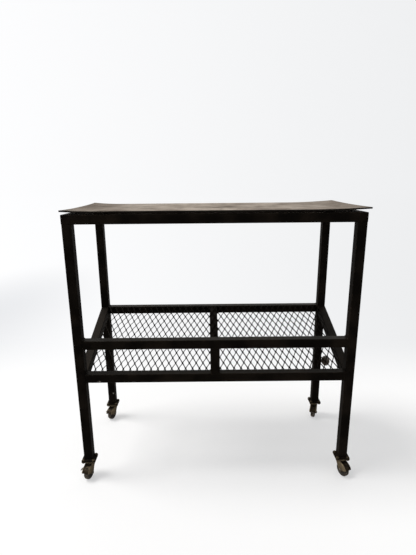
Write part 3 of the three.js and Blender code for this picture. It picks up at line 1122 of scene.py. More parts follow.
    def build(self) -> None:
        """Makes the tubes and their welds."""
        plan: list[tuple[str, Shape]] = []
        plan += [(node, self.mitred(node, 0)) for node in ("top_front_rail", "top_back_rail")]
        plan += [(node, self.mitred(node, 1)) for node in ("top_left_rail", "top_right_rail")]
        plan += [(f"leg_{corner}", self.straight(f"leg_{corner}", 2)) for corner in CORNERS]
        level = ("guard_rail", "lower_front_rail", "shelf_back_rail")
        plan += [(node, self.straight(node, 0)) for node in level]
        plan.append(("guard_post", self.straight("guard_post", 2)))
        bars = ("shelf_left_bar", "shelf_centre_bar", "shelf_right_bar")
        plan += [(node, self.sloped(node)) for node in bars]
        for node, shape in plan:
            self.shop.make(f"{node}.tube", shape, Slot.FRAME, "frame", [node])
        for node, back in zip(level, (1.0, 1.0, -1.0)):
            self.shop.make(f"{node}.welds", self.rail_welds(node, back), Slot.FRAME, "frame")
        for node, inner in zip(bars, (1.0, 1.0, -1.0)):
            self.shop.make(f"{node}.welds", self.bar_welds(node, inner), Slot.FRAME, "frame")
        self.shop.make("guard_post.welds", self.post_welds(), Slot.FRAME, "frame")
        for corner in CORNERS:
            foot, top = self.leg_welds(corner)
            self.shop.make(f"foot_weld_{corner}", foot, Slot.FRAME, "frame")
            self.shop.make(f"top_weld_{corner}", top, Slot.FRAME, "frame")


@dataclass(frozen=True)
class SheetEnd:
    """How an end of the sheet rises: most at its back corner and least in its middle."""

    lift: float
    bend_length: float
    front_share: float
    dish_share: float

    def rise(self, past: float, back_share: float) -> float:
        """How far the sheet rises at a place.

        Args:
            past: How far the place lies past the bend's start.
            back_share: Its place across the sheet, from 0 at the front to 1 at the back.

        Returns:
            The rise in metres.
        """
        corner_share = self.front_share + (1 - self.front_share) * back_share
        dish = self.dish_share * 4 * back_share * (1 - back_share)
        return self.lift * (max(0.0, past) / self.bend_length) ** 2 * (corner_share - dish)


@dataclass
class Top:
    """The steel sheet and the blocks that it lies on."""

    shop: Workshop
    thickness: float = 0.005
    left_end: SheetEnd = SheetEnd(0.006, 0.120, 0.6, 0.6)
    right_end: SheetEnd = SheetEnd(0.008, 0.190, 0.7, 0.3)
    wave: float = 0.00015
    length_steps: int = 96
    depth_steps: int = 40
    painted_shade_band: float = 0.004
    wave_along: float = 17.0
    wave_across: float = 23.0
    wave_skew: float = 5.0
    wave_start: float = 0.6
    calm_band: float = 0.03
    sheet_bevel: float = 0.0007
    block_bevel: float = 0.0008
    block_wear: float = 0.3

    def spread(self, low: float, high: float, steps: int) -> list[float]:
        """Places from low to high, with one extra close to each end, so that the painted shade on the outline
        stays in a thin band.
        """
        inner = [low + (high - low) * k / steps for k in range(1, steps)]
        return [low, low + self.painted_shade_band, *inner, high - self.painted_shade_band, high]

    def sheet(self) -> Shape:
        """The sheet's shape.

        Returns:
            A closed skin with bent ends.
        """
        low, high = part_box("top_sheet")
        middle = (low + high) / 2
        half_length = (high.x - low.x) / 2
        half_depth = (high.y - low.y) / 2
        columns = self.spread(low.x, high.x, self.length_steps)
        rows = self.spread(low.y, high.y, self.depth_steps)
        shape = Shape()
        grids = []
        for level in (low.z, low.z + self.thickness):
            grid = []
            for x in columns:
                end = self.left_end if x < middle.x else self.right_end
                past = abs(x - middle.x) - half_length + end.bend_length
                ring = []
                for y in rows:
                    swell = math.sin(x * self.wave_along + self.wave_start)
                    ripple = swell * math.sin(y * self.wave_across + x * self.wave_skew) * self.wave
                    edge_share = min(1.0, (half_depth - abs(y - middle.y)) / self.calm_band)
                    rise = end.rise(past, (y - low.y) / (high.y - low.y))
                    ring.append(Vector((x, y, level + rise + ripple * edge_share)))
                # Wear 1 marks the outline, which the sheet's finish paints near black as shade.
                ends = x in (low.x, high.x)
                wear = [1.0 if ends or y in (low.y, high.y) else 0.0 for y in rows]
                grid.append(shape.add_ring(ring, wear))
            grids.append(grid)
        under, over = grids
        for first, second in zip(over, over[1:]):
            shape.bridge(second, first, closed=False)
        for first, second in zip(under, under[1:]):
            shape.bridge(first, second, closed=False)
        for grid_end, flip in ((0, True), (-1, False)):
            pair = (under[grid_end], over[grid_end])
            shape.bridge(pair[flip], pair[not flip], closed=False)
        for row_end, flip in ((0, False), (-1, True)):
            lower = [ring[row_end] for ring in under]
            upper = [ring[row_end] for ring in over]
            pair = (lower, upper)
            shape.bridge(pair[flip], pair[not flip], closed=False)
        return shape

    def block(self, corner: str) -> Shape:
        """A block that touches the frame and the sheet.

        Args:
            corner: The block's corner.

        Returns:
            The block's shape.
        """
        low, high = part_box(f"sheet_block_{corner}")
        shape = Shape()
        gap = Tubes.weld_gap
        rings = []
        for z in (low.z - gap, high.z + gap):
            ring = [(low.x, low.y, z), (high.x, low.y, z), (high.x, high.y, z), (low.x, high.y, z)]
            rings.append(shape.add_ring([Vector(point) for point in ring], [self.block_wear] * 4))
        shape.bridge(rings[0], rings[1])
        shape.cap(rings[0], flip=True)
        shape.cap(rings[1])
        return shape

    def build(self) -> None:
        """Makes the sheet and its blocks."""
        edges = Edges(bevel=self.sheet_bevel)
        self.shop.make("top_sheet.plate", self.sheet(), Slot.SHEET, "frame", ["top_sheet"], edges)
        edges = Edges(bevel=self.block_bevel)
        for corner in CORNERS:
            node = f"sheet_block_{corner}"
            self.shop.make(f"{node}.steel", self.block(corner), Slot.FRAME, "frame", [node], edges)


@dataclass
class Shelf:
    """The raised expanded-steel panel: tilted zigzag strands that meet in pairs at their bonds."""

    shop: Workshop
    short_way: float = 0.025
    long_way: float = 0.0525
    strand: float = 0.0036
    thickness: float = 0.0023
    tilt: float = math.radians(38)
    bond: float = 0.007
    chamfer: float = 0.0004
    seat: float = 0.0002
    tack: float = 0.0018
    tack_every: int = 6
    seed: int = 7
    trim: float = 0.0015
    wobble: float = 0.0002
    first_row_share: float = 0.35
    strand_wear: tuple[float, ...] = (1.0, 1.0, 0.6, 0.6, 0.2, 0.2, 0.6, 1.0)
    tack_sink_share: float = 0.5
    tack_height_share: float = 0.62
    tack_inset: float = 0.002
    tack_side: float = 0.003
    tack_lift: float = 0.0015
    side_tack_shares: tuple[float, ...] = (0.2, 0.5, 0.8)

    def build(self) -> None:
        """Makes the panel and the tack welds along its ends."""
        self.shop.make("shelf_mesh.strands", self.panel(), Slot.MESH, "frame", ["shelf_mesh"])
        self.shop.make("shelf_mesh.tacks", self.tacks(), Slot.FRAME, "frame")

    def slope(self) -> tuple[Vector, Vector, float]:
        """Where the panel lies.

        Returns:
            The middle of its lower edge on the bars' tops, the direction up the slope, and its length.
        """
        low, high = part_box("shelf_mesh")
        bar_low, bar_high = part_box("shelf_centre_bar")
        run = bar_high.y - bar_low.y
        rise = slope_rise(bar_low, bar_high, Tubes.side)
        start = Vector(((low.x + high.x) / 2, bar_low.y, bar_high.z - rise))
        return start, Vector((0, run, rise)).normalized(), math.hypot(run, rise)

    def strand_section(self, along: Vector, out: Vector) -> list[Vector]:
        """The chamfered section of a strand, about its middle.

        Args:
            along: The direction up the slope.
            out: The direction out of the panel.

        Returns:
            The section's corners.
        """
        wide = Vector((math.cos(self.tilt), 0, 0)) + out * math.sin(self.tilt)
        thick = wide.cross(along).normalized()
        half_wide = self.strand / 2
        half_thick = self.thickness / 2
        cut = self.chamfer
        corners = [
            (half_wide, half_thick - cut), (half_wide - cut, half_thick),
            (-half_wide + cut, half_thick), (-half_wide, half_thick - cut),
            (-half_wide, -half_thick + cut), (-half_wide + cut, -half_thick),
            (half_wide - cut, -half_thick), (half_wide, -half_thick + cut),
        ]
        return [wide * x + thick * y for x, y in corners]

    def panel(self) -> Shape:
        """All the strands of the panel.

        Returns:
            The panel's shape.
        """
        start, along, length = self.slope()
        out = RIGHT.cross(along)
        low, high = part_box("shelf_mesh")
        section = self.strand_section(along, out)
        reach_x = self.strand / 2 * math.cos(self.tilt)
        reach_out = self.strand / 2 * math.sin(self.tilt)
        height = self.seat + reach_out * 2 + self.thickness / 2 * math.cos(self.tilt)
        half_pitch = self.long_way / 2
        count = int((high.x - low.x) / (self.short_way / 2))
        first_x = (low.x + high.x - count * self.short_way / 2) / 2
        rows = int(length / half_pitch) + 2
        rng = random.Random(self.seed)
        shape = Shape()
        for strand in range(count):
            path: list[Point] = []
            for row in range(-1, rows):
                left = (row + strand) % 2 == 0
                x = first_x + (strand if left else strand + 1) * self.short_way / 2
                sign = 1 if left else -1
                wobble = rng.uniform(-self.wobble, self.wobble)
                for end in (-1, 1):
                    path.append((
                        x + sign * reach_x + wobble,
                        (row + self.first_row_share) * half_pitch + end * self.bond / 2,
                        height + sign * reach_out,
                    ))
            shape.join(self.strand_shape(path, section, start, along, out, length))
        return shape

    def strand_shape(
        self,
        path: Sequence[Point],
        section: Sequence[Vector],
        start: Vector,
        along: Vector,
        out: Vector,
        length: float,
    ) -> Shape:
        """One zigzag strand, cut off at the panel's ends.

        Args:
            path: Its places: x, distance up the slope, and height above the bars.
            section: Its section.
            start: The middle of the panel's lower edge.
            along: The direction up the slope.
            out: The direction out of the panel.
            length: The slope's length.

        Returns:
            The strand's shape.
        """
        kept: list[Point] = []
        for here, there in zip(path, path[1:]):
            for limit in (self.trim, length - self.trim):
                if (here[1] - limit) * (there[1] - limit) < 0:
                    share = (limit - here[1]) / (there[1] - here[1])
                    kept.append(tuple(a + (b - a) * share for a, b in zip(here, there)))
            if self.trim < there[1] < length - self.trim:
                kept.append(there)
        kept.sort(key=lambda place: place[1])
        shape = Shape()
        rings = []
        for x, up, height in kept:
            spot = Vector((x, start.y, start.z)) + along * up + out * height
            rings.append(shape.add_ring([spot + corner for corner in section], self.strand_wear))
        for first, second in zip(rings, rings[1:]):
            shape.bridge(second, first)
        shape.cap(rings[0])
        shape.cap(rings[-1], flip=True)
        return shape

    def tacks(self) -> Shape:
        """Small weld blobs that hold the panel to the rails and bars.

        Returns:
            All the blobs.
        """
        start, along, length = self.slope()
        out = RIGHT.cross(along)
        low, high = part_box("shelf_mesh")
        tall = self.tack * self.tack_height_share
        angles = [math.radians(angle) for angle in (-35, 0, 30, 60)]
        dome = [(self.tack * math.cos(angle), tall * math.sin(angle)) for angle in angles]
        blob = turned([(0, -self.tack * self.tack_sink_share), *dome, (0, tall)], 10, even_wear(0.0))
        shape = Shape()
        spots: list[Vector] = []
        pitch = self.short_way * self.tack_every
        count = int((high.x - low.x) / pitch)
        for k in range(count + 1):
            x = (low.x + high.x) / 2 + (k - count / 2) * pitch
            for up in (self.tack_inset, length - self.tack_inset):
                spots.append(Vector((x, start.y, start.z)) + along * up)
        for share in self.side_tack_shares:
            for x in (low.x + self.tack_side, high.x - self.tack_side):
                spots.append(Vector((x, start.y, start.z)) + along * (length * share))
        turn = out.to_track_quat("Z", "X").to_matrix().to_4x4()
        for spot in spots:
            shape.join(blob, Matrix.Translation(spot + out * self.tack_lift) @ turn)
        return shape


@dataclass
class Caster:
    """One swivel caster with the plate that it is bolted to."""

    shop: Workshop
    corner: str
    width: float = 0.030
    sheet: float = 0.0025
    bend: float = 0.0042
    crown_front: float = 0.008
    crown_back: float = 0.011
    crown_radius: float = 0.015
    hood_gap: float = 0.004
    hood_end: float = 25.0
    boss: float = 0.0075
    tread: float = 0.018
    wheel_shoulder: float = 0.005
    hub: float = 0.008
    hub_half: float = 0.0122
    axle_radius: float = 0.004
    pin_fit: float = 0.0003
    axle_head: float = 0.006
    axle_head_height: float = 0.0025
    king_radius: float = 0.004
    king_head: float = 0.007
    king_head_height: float = 0.003
    bolt_edge: float = 0.0068
    bolt_radius: float = 0.003
    dome_radius: float = 0.0062
    dome_height: float = 0.005
    nut_radius: float = 0.0058
    nut_height: float = 0.0042
    tip_height: float = 0.0014
    chamfer: float = 0.0005
    round_steps: int = 56
    pin_steps: int = 32
    cup_round: float = 0.0006
    cup_edge: float = 0.001
    hub_round: float = 0.0006
    web_depth: float = 0.0022
    web_fillet: float = 0.0012
    rim_steps: tuple[Pair, ...] = ((0.005, 0.0022), (0.0038, 0.0016), (0.003, 0.0004), (0.002, 0.0))
    tread_seam: Pair = (0.0012, 0.0004)
    tread_wear: float = 0.006
    dome_shares: tuple[Pair, ...] = ((1.0, 0.0), (1.0, 0.5), (0.86, 0.82), (0.5, 1.0))
    king_flat_share: float = 0.7
    king_edge: float = 0.001
    race_steps: tuple[Pair, ...] = (
        (0.0008, 0.0), (0.0, 0.0008), (0.0, 0.0024), (0.0010, 0.0032),
        (0.0030, 0.0034), (0.0034, 0.0042), (0.0018, 0.0048), (0.0008, 0.0060),
    )
    race_lip: tuple[Pair, ...] = ((0.0010, 0.0004), (0.0016, 0.0))
    race_edge: float = 0.0012
    plate_corner: float = 0.004
    plate_border_share: float = 0.08
    plate_bevel: float = 0.0004
    fork_bevel: float = 0.0003

    def __post_init__(self) -> None:
        """Reads the caster's places from the joints."""
        swivel = Vector(self.shop.joints[f"swivel_{self.corner}"]["pos_m"])
        roll = self.shop.joints[f"roll_{self.corner}"]
        wheel_centre = Vector(roll["pos_m"])
        side = Vector(roll["axis"]).normalized()
        self.trail = Vector((wheel_centre.x - swivel.x, wheel_centre.y - swivel.y)).length
        self.radius = wheel_centre.z
        turn = Matrix.Rotation(math.atan2(side.y, side.x), 4, "Z")
        self.place = Matrix.Translation(Vector((swivel.x, swivel.y, 0))) @ turn
        self.on_axle = self.place @ Matrix.Translation((0, -self.trail, self.radius))
        self.on_axle = self.on_axle @ Matrix.Rotation(math.pi / 2, 4, "Y")
        self.body = f"caster_{self.corner}"
        self.crown_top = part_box(f"fork_{self.corner}")[1].z

    def put(
        self,
        kind: str,
        shape: Shape,
        slot: Slot,
        body: str,
        matrix: Matrix,
        replaced: bool = True,
        edges: Edges = Edges(),
    ) -> None:
        """Makes a piece of the caster.

        Args:
            kind: What the piece is.
            shape: Its shape, in the caster's own frame.
            slot: Its material slot.
            body: The body that it rides on.
            matrix: Where the caster's frame is.
            replaced: Whether it stands for the node of its kind.
            edges: How its edges are rounded.
        """
        placed = Shape()
        placed.join(shape, matrix)
        name = f"{kind}_{self.corner}"
        nodes = [name] if replaced else []
        self.shop.make(f"{name}.piece", placed, slot, body, nodes, edges)

    def hood_start(self, radius: float, crown: float) -> float:
        """The angle in degrees at which the slope from the crown meets the round hood.

        Args:
            radius: The hood's radius.
            crown: The height of the crown's top.

        Returns:
            The angle.
        """
        back = self.trail - self.crown_front
        rise = crown - self.radius
        return math.degrees(math.atan2(rise, -back) - math.acos(radius / math.hypot(back, rise)))

    def spine(self) -> list[Pair]:
        """The fork's outer line from the back of the crown to the end of the hood: out and height.

        Returns:
            The line's points.
        """
        radius = self.radius + self.hood_gap + self.sheet
        start = self.hood_start(radius, self.crown_top)
        hood = arc((self.trail, self.radius), radius, start, self.hood_end, 14)
        flat = [(-self.crown_back, self.crown_top), (0.0, self.crown_top), (self.crown_front, self.crown_top)]
        return flat + hood

    def fork(self) -> Shape:
        """The pressed fork's outer skin, thickened later.

        Returns:
            The skin: crown, hood and both cheeks.
        """
        spine = self.spine()
        half = self.width / 2
        bends = [math.radians(90 * k / 5) for k in range(6)]
        across = [
            (-half + self.bend * (1 - math.sin(turn)), self.bend * (1 - math.cos(turn)))
            for turn in reversed(bends)
        ]
        across += [(-x, depth) for x, depth in reversed(across)]
        shape = Shape()
        rings = []
        for k, (out, height) in enumerate(spine):
            before = spine[max(k - 1, 0)]
            after = spine[min(k + 1, len(spine) - 1)]
            along = Vector((after[0] - before[0], after[1] - before[1])).normalized()
            inward = Vector((along.y, -along.x))
            ring = [
                Vector((x, -(out + inward.x * depth), height + inward.y * depth)) for x, depth in across
            ]
            wear = [0.9 if 0 < depth < self.bend else 0.2 for _, depth in across]
            rings.append(shape.add_ring(ring, wear))
        for first, second in zip(rings, rings[1:]):
            shape.bridge(second, first, closed=False)
        lower = arc((self.trail, self.radius), self.boss, 8, -188, 16)
        for end, flip in ((0, True), (-1, False)):
            top = [ring[end] for ring in rings]
            x = -half if end == 0 else half
            ring = [Vector((x, -out, height)) for out, height in lower]
            shape.cap([*top, *shape.add_ring(ring, [0.6] * len(ring))], flip=flip)
        return shape

    def swivel_cup(self) -> Shape:
        """The pressed cup on the crown that holds the lower balls.

        Returns:
            The cup's shape.
        """
        top = self.crown_top
        outer = self.crown_radius
        inner = self.king_radius + self.pin_fit
        under = top - self.sheet
        small = self.cup_round
        profile = [
            (inner, under), (outer - small, under), (outer, under + small),
            (outer, top - small), (outer - small, top), (inner, top),
        ]
        return turned(profile, self.round_steps, outer_wear(outer - self.cup_edge, 0.8, 0.1))

    def wheel(self) -> Shape:
        """The wheel, with a rounded tread, dished faces and a raised hub.

        Returns:
            The wheel's shape.
        """
        half = self.tread / 2
        rim = self.radius - self.wheel_shoulder
        bore = self.axle_radius + self.pin_fit
        small = self.hub_round
        face = [
            (bore, self.hub_half - small), (bore + small, self.hub_half), (self.hub - small, self.hub_half),
            (self.hub, self.hub_half - small), (self.hub, half - self.web_fillet),
            (self.hub + self.web_fillet, half - self.web_depth),
        ]
        face += [(rim - inset, half - depth) for inset, depth in self.rim_steps]
        face += arc((rim, half - self.wheel_shoulder), self.wheel_shoulder, 90, 8, 10)
        face += [(self.radius, height) for height in self.tread_seam]
        profile = [(radius, -height) for radius, height in face] + list(reversed(face))
        return turned(
            profile,
            self.round_steps,
            lambda radius, height: max(0.0, 1 - (self.radius - radius) / self.tread_wear),
        )

    def axle(self) -> Shape:
        """The axle with a domed head at each end.

        Returns:
            The axle's shape.
        """
        low, high = self.axle_ends()
        head = self.axle_head_height
        dome = [(self.axle_head * wide, head * tall) for wide, tall in self.dome_shares]
        profile = [(0.0, low)]
        profile += [(radius, low + head - height) for radius, height in reversed(dome)]
        profile += [(self.axle_radius, low + head), (self.axle_radius, high - head)]
        profile += [(radius, high - head + height) for radius, height in dome]
        profile.append((0.0, high))
        return turned(profile, self.pin_steps, outer_wear(self.axle_radius, 0.7, 0.2))

    def axle_ends(self) -> tuple[float, float]:
        """The axle's lowest and highest place along its own axis.

        Returns:
            Both places.
        """
        node = self.shop.nodes[f"axle_{self.corner}"]
        inverse = self.on_axle.inverted()
        heights = [(inverse @ vertex.co).z for vertex in node.data.vertices]
        return min(heights), max(heights)

    def kingpin(self) -> Shape:
        """The kingpin with its head under the crown, riveted over above the plate.

        Returns:
            The kingpin's shape.
        """
        low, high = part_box(f"kingpin_{self.corner}")
        bottom = low.z
        shank = self.king_radius
        head = self.king_head
        head_top = bottom + self.king_head_height
        profile = [
            (0.0, bottom), (head * self.king_flat_share, bottom), (head, bottom + self.king_edge),
            (head, head_top), (shank, head_top), (shank, high.z), (0.0, high.z),
        ]
        worn_to = bottom + 2 * self.king_edge
        return turned(profile, self.pin_steps, lambda radius, height: 0.6 if height < worn_to else 0.1)

    def race(self) -> Shape:
        """The ball race: a pressed lower ring, the gap where the balls run, and the upper ring.

        Returns:
            The race's shape.
        """
        low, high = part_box(f"swivel_race_{self.corner}")
        outer = (high.x - low.x) / 2
        bore = self.king_radius + self.pin_fit
        profile = [(bore, low.z)]
        profile += [(outer - inset, low.z + height) for inset, height in self.race_steps]
        profile += [(outer - inset, high.z - depth) for inset, depth in self.race_lip]
        profile.append((bore, high.z))
        return turned(profile, self.round_steps, outer_wear(outer - self.race_edge, 0.7, 0.1))

    def plate(self, node: str) -> Shape:
        """A plate with rounded corners that fills a node's box. Its bolts are pieces of their own.

        Args:
            node: The node.

        Returns:
            The plate's shape.
        """
        low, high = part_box(node)
        middle = (low + high) / 2
        corner = self.plate_corner
        outline: list[Pair] = []
        ends = ((high.x, high.y), (low.x, high.y), (low.x, low.y), (high.x, low.y))
        for quarter, (x, y) in enumerate(ends):
            centre = (x - math.copysign(corner, x - middle.x), y - math.copysign(corner, y - middle.y))
            outline += arc(centre, corner, quarter * 90, quarter * 90 + 90, 6)
        shape = Shape()
        rings = [
            shape.add_ring([Vector((x, y, z)) for x, y in outline], [0.8] * len(outline))
            for z in (low.z, high.z)
        ]
        inner = []
        for z in (low.z, high.z):
            centre = Vector((middle.x, middle.y, z))
            ring = [Vector((x, y, z)).lerp(centre, self.plate_border_share) for x, y in outline]
            inner.append(shape.add_ring(ring, [0.0] * len(outline)))
        shape.bridge(rings[0], rings[1])
        shape.bridge(rings[1], inner[1])
        shape.bridge(inner[0], rings[0])
        shape.cap(inner[0], flip=True)
        shape.cap(inner[1])
        return shape

    def bolt(self, top: float, under: float, turn: float) -> Shape:
        """One bolt: a domed head above the plates, and a hexagonal nut and the bolt's tip below them.

        Args:
            top: The height of the upper plate's top.
            under: The height of the lower plate's underside.
            turn: How far the nut is turned.

        Returns:
            The bolt's shape, about its own axis.
        """
        dome = [(0.0, 0.0), *arc((0.0, 0.0), self.dome_radius, 0, 84, 6), (0.0, self.dome_radius)]
        flatten = Matrix.Diagonal((1.0, 1.0, self.dome_height / self.dome_radius, 1.0))
        shape = Shape()
        shape.join(turned(dome, 24, even_wear(0.45)), Matrix.Translation((0, 0, top)) @ flatten)
        nut = [
            (0.0, -self.nut_height), (self.nut_radius - self.chamfer, -self.nut_height),
            (self.nut_radius, self.chamfer - self.nut_height), (self.nut_radius, 0.0), (0.0, 0.0),
        ]
        low = -self.nut_height - self.tip_height
        tip = [
            (0.0, low), (self.bolt_radius - self.chamfer, low), (self.bolt_radius, low + self.chamfer),
            (self.bolt_radius, -self.nut_height), (0.0, -self.nut_height),
        ]
        below = Matrix.Translation((0, 0, under)) @ Matrix.Rotation(turn, 4, "Z")
        shape.join(turned(nut, 6, even_wear(0.5)), below)
        shape.join(turned(tip, 16, even_wear(0.5)), below)
        return shape

    def bolts(self) -> Shape:
        """The four bolts through both plates.

        Returns:
            All four.
        """
        low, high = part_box(f"caster_plate_{self.corner}")
        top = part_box(f"foot_plate_{self.corner}")[1].z
        shape = Shape()
        rng = random.Random(self.corner)
        for x in (low.x + self.bolt_edge, high.x - self.bolt_edge):
            for y in (low.y + self.bolt_edge, high.y - self.bolt_edge):
                bolt = self.bolt(top, low.z, rng.uniform(0, math.pi / 3))
                shape.join(bolt, Matrix.Translation((x, y, 0)))
        return shape

    def pedal(self) -> Shape | None:
        """The brake pedal's own solid, or None where the caster has none.

        Returns:
            The solid, or None.
        """
        name = f"brake_pedal_{self.corner}"
        if name not in self.shop.nodes:
            return None
        mesh = self.shop.nodes[name].data
        shape = Shape()
        numbers: dict[tuple[int, int, int], int] = {}
        lookup = []
        for vertex in mesh.vertices:
            key = tuple(round(value * 1e6) for value in vertex.co)
            if key not in numbers:
                numbers[key] = len(shape.points)
                shape.points.append(vertex.co.copy())
                shape.wear.append(0.5)
            lookup.append(numbers[key])
        shape.faces = [tuple(lookup[k] for k in polygon.vertices) for polygon in mesh.polygons]
        return shape

    def build(self) -> None:
        """Makes the caster's pieces."""
        nothing = Matrix.Identity(4)
        fine = Edges(bevel=self.plate_bevel)
        for kind, slot in (("foot_plate", Slot.FRAME), ("caster_plate", Slot.CASTER)):
            self.put(kind, self.plate(f"{kind}_{self.corner}"), slot, "frame", nothing, True, fine)
        self.put("plate_bolts", self.bolts(), Slot.CASTER, "frame", nothing, False)
        axis = Matrix.Translation(Vector((self.place.translation.x, self.place.translation.y, 0)))
        self.put("swivel_race", self.race(), Slot.CASTER, "frame", axis)
        self.put("kingpin", self.kingpin(), Slot.PIN, "frame", axis)
        pressed = Edges(bevel=self.fork_bevel, thicken=self.sheet)
        self.put("fork", self.fork(), Slot.CASTER, self.body, self.place, True, pressed)
        self.put("swivel_cup", self.swivel_cup(), Slot.CASTER, self.body, self.place, False)
        self.put("axle", self.axle(), Slot.PIN, self.body, self.on_axle)
        self.put("wheel", self.wheel(), Slot.WHEEL, f"roller_{self.corner}", self.on_axle)
        pedal = self.pedal()
        if pedal is not None:
            self.put("brake_pedal", pedal, Slot.CASTER, f"pedal_{self.corner}", nothing, True, fine)


@dataclass
class PullKnob:
    """The turned knob on the back right leg, with its screw."""

    shop: Workshop
    radius: float = 0.0225
    head_length: float = 0.036
    length: float = 0.042
    base_radius: float = 0.011
    base_height: float = 0.003
    neck: float = 0.008
    foot_round: float = 0.0006
    foot_start: float = 0.0005
    rim_round: float = 0.0008
    crown: float = 0.0004
    throat: float = 0.0012
    worn_length: float = 0.02
    head_steps: int = 32
    crease_angle: float = math.radians(55)

    def shape(self) -> Shape:
        """The knob, turned about its own axis.

        Returns:
            The knob's shape.
        """
        half = self.head_length / 2
        start = math.degrees(math.asin(self.neck / self.radius))
        head = []
        for k in range(self.head_steps + 1):
            angle = math.radians(start + (180 - start) * k / self.head_steps)
            head.append((self.radius * math.sin(angle), self.length - half * (1 + math.cos(angle))))
        head[-1] = (0.0, self.length)
        base = self.base_radius
        top = self.base_height
        profile = [(0.0, -Tubes.weld_gap), (base - self.foot_round, -Tubes.weld_gap)]
        profile += [(base, self.foot_start), (base, top - self.rim_round), (base - self.rim_round, top)]
        profile += [(self.neck + self.rim_round, top + self.crown), (self.neck, top + self.throat), *head]
        return turned(
            profile,
            2 * self.head_steps,
            lambda radius, height: max(0.0, 1 - abs(height - self.length) / self.worn_length),
        )

    def build(self) -> None:
        """Makes the knob and dresses the screw behind it."""
        low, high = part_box("pull_knob")
        matrix = Matrix.Translation((low.x, (low.y + high.y) / 2, (low.z + high.z) / 2))
        placed = Shape()
        placed.join(self.shape(), matrix @ Matrix.Rotation(math.pi / 2, 4, "Y"))
        edges = Edges(angle=self.crease_angle)
        self.shop.make("pull_knob.turned", placed, Slot.KNOB, "frame", ["pull_knob"], edges)
        screw = self.shop.nodes["knob_screw"]
        screw.data.materials.clear()
        screw.data.materials.append(self.shop.materials[Slot.PIN])


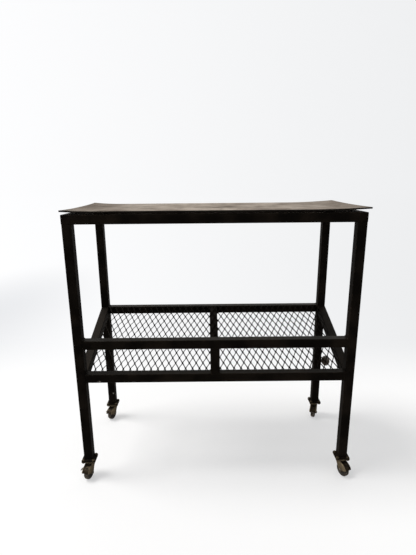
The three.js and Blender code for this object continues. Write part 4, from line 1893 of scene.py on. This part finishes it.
@dataclass
class Studio:
    """Floor, backdrop, lights and camera."""

    focal: float = 25.166
    sensor: float = 36.0
    pitch: float = math.radians(13.9586)
    yaw: float = math.radians(0.1334)
    roll: float = math.radians(-0.5065)
    camera_x: float = -0.0255
    camera_y: float = -1.4472
    camera_z: float = 1.0837
    floor_size: float = 60.0
    backdrop_left: Colour = (1.06, 1.06, 1.07)
    backdrop_right: Colour = (0.79, 0.80, 0.81)
    backdrop_reach: float = 2.0
    floor_albedo: Colour = (0.94, 0.94, 0.94)
    floor_glow_share: float = 0.46
    floor_mirror: Colour = (0.18, 0.17, 0.16)
    fade_start: float = 1.4
    fade_end: float = 4.5
    sweep_start: float = 0.25
    sweep_end: float = 1.1
    shade_x: float = -1.9
    shade_y: float = 1.6
    shade_width: float = 1.15
    shade_depth: float = 2.5
    shade_tone: Colour = (0.83, 0.84, 0.86)
    ceiling: Colour = (0.62, 0.63, 0.65)
    room: Colour = (0.10, 0.095, 0.09)
    window_wall: Colour = (0.7, 0.68, 0.65)
    key_power: float = 1.85
    key_width: float = 24.0
    key_height: float = 63.5
    window_power: float = 1.3
    window_width: float = 18.0
    window_height: float = 16.0
    daylight: Colour = (1.0, 0.985, 0.96)
    ceiling_band: Pair = (0.15, 0.85)
    window_band: Pair = (-0.1, 0.8)
    sky_reach: float = 0.1

    def camera(self) -> None:
        """Makes the camera at the photograph's viewpoint."""
        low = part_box("leg_front_left")[0]
        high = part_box("leg_back_right")[1]
        middle = (low + high) / 2
        data = bpy.data.cameras.new("camera")
        data.lens = self.focal
        data.sensor_width = self.sensor
        data.clip_start = 0.01
        data.clip_end = 200.0
        camera = bpy.data.objects.new("camera", data)
        bpy.context.scene.collection.objects.link(camera)
        ahead = Vector((
            math.sin(self.yaw) * math.cos(self.pitch),
            math.cos(self.yaw) * math.cos(self.pitch),
            -math.sin(self.pitch),
        ))
        level = Vector((math.cos(self.yaw), -math.sin(self.yaw), 0))
        upward = level.cross(ahead)
        right = level * math.cos(self.roll) + upward * math.sin(self.roll)
        top = upward * math.cos(self.roll) - level * math.sin(self.roll)
        turn = Matrix((right, top, -ahead)).transposed().to_4x4()
        place = Vector((middle.x + self.camera_x, middle.y + self.camera_y, self.camera_z))
        camera.matrix_world = Matrix.Translation(place) @ turn
        bpy.context.scene.camera = camera

    def ground(self) -> None:
        """Makes the pale floor, which keeps the cart's shadow."""
        half = self.floor_size / 2
        mesh = bpy.data.meshes.new("floor")
        corners = [(-half, -half, 0), (half, -half, 0), (half, half, 0), (-half, half, 0)]
        mesh.from_pydata(corners, [], [(0, 1, 2, 3)])
        floor = bpy.data.objects.new("floor", mesh)
        bpy.context.scene.collection.objects.link(floor)
        shader = Shader(bpy.data.materials.new("pale_floor"))
        spot = shader.node("ShaderNodeTexCoord", output="Object")
        across = shader.part(spot, "X")
        deep = shader.part(spot, "Y")
        near = 1.0 - shader.band((across * across + deep * deep) ** 0.5, self.fade_start, self.fade_end)
        far = 1.0 - near * (1.0 - shader.band(deep, self.sweep_start, self.sweep_end))
        seen = shader.ray("Is Camera Ray")
        mirrored = shader.ray("Is Glossy Ray")
        lit = shader.node("ShaderNodeBsdfDiffuse", sockets={"Color": self.floor_albedo})
        # Painted reflection: glossy rays see the floor as a dim glow in place of its lit tone.
        dull = shader.node("ShaderNodeEmission", sockets={"Color": self.floor_mirror, "Strength": 1.0})
        # Painted shade: a soft darker patch in the floor's glow, left of and behind the cart.
        aside = (across - self.shade_x) * (1 / self.shade_width)
        beyond = (deep - self.shade_y) * (1 / self.shade_depth)
        shade = 1.0 - shader.band((aside * aside + beyond * beyond) ** 0.5, 0.0, 1.0)
        tone = shader.mix(shade, self.backdrop(shader, across, deep, self.backdrop_reach), self.shade_tone)
        glow = shader.node("ShaderNodeEmission", sockets={"Color": tone, "Strength": 1.0})
        share = seen * (far * (1.0 - self.floor_glow_share) + self.floor_glow_share)
        surface = shader.blend(mirrored, shader.blend(share, lit, glow), dull)
        shader.node("ShaderNodeOutputMaterial", sockets={"Surface": surface})
        mesh.materials.append(shader.owner)

    def backdrop(self, shader: Shader, across: Signal, deep: Signal, reach: float) -> Signal:
        """The backdrop's tone, paler on the left: painted light, brighter on the side the lamps shine from.

        Args:
            shader: The shader that it is for.
            across: The place or direction along X.
            deep: The place or direction along Y.
            reach: How far from the middle the tone starts to change.

        Returns:
            A colour signal.
        """
        turn = across * (across * across + deep * deep + reach**2) ** -0.5
        return shader.mix(turn * 0.5 + 0.5, self.backdrop_left, self.backdrop_right)

    def sky(self) -> None:
        """Makes the light from all round: a bright ceiling, a window wall behind the cart and a dark room."""
        shader = Shader(bpy.data.worlds.new("studio"))
        bpy.context.scene.world = shader.owner
        spot = shader.node("ShaderNodeTexCoord", output="Generated")
        across = shader.part(spot, "X")
        deep = shader.part(spot, "Y")
        high = shader.part(spot, "Z")
        overhead = shader.mix(shader.band(high, *self.ceiling_band), self.room, self.ceiling)
        around = shader.mix(shader.band(deep, *self.window_band), overhead, self.window_wall)
        tone = self.backdrop(shader, across, deep, self.sky_reach)
        seen = shader.node("ShaderNodeBackground", sockets={"Color": tone, "Strength": 1.0})
        fill = shader.node("ShaderNodeBackground", sockets={"Color": around, "Strength": 1.0})
        surface = shader.blend(shader.ray("Is Camera Ray"), fill, seen)
        shader.node("ShaderNodeOutputWorld", sockets={"Surface": surface})

    def lamp(self, name: str, power: float, width: float, height: float) -> None:
        """Adds a soft light from the left.

        Args:
            name: The lamp's name.
            power: Its power.
            width: How wide it looks from the cart, in degrees.
            height: How high it stands, in degrees.
        """
        data = bpy.data.lights.new(name, "SUN")
        data.energy = power
        data.angle = math.radians(width)
        data.color = self.daylight
        lamp = bpy.data.objects.new(name, data)
        bpy.context.scene.collection.objects.link(lamp)
        down = math.radians(height)
        lamp.rotation_mode = "QUATERNION"
        lamp.rotation_quaternion = Vector((math.cos(down), 0.0, -math.sin(down))).to_track_quat("-Z", "Y")

    def build(self) -> None:
        """Makes the whole studio."""
        self.camera()
        self.ground()
        self.sky()
        self.lamp("key", self.key_power, self.key_width, self.key_height)
        self.lamp("window", self.window_power, self.window_width, self.window_height)
        bpy.context.scene.view_settings.view_transform = "Standard"


def main() -> None:
    """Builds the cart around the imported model, and the studio around the cart."""
    logging.basicConfig(level=logging.INFO, format="%(message)s")
    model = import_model()
    Studio().build()
    shop = Workshop(model)
    Tubes(shop).build()
    Top(shop).build()
    Shelf(shop).build()
    for corner in CORNERS:
        Caster(shop, corner).build()
    PullKnob(shop).build()


if __name__ == "__main__":
    main()
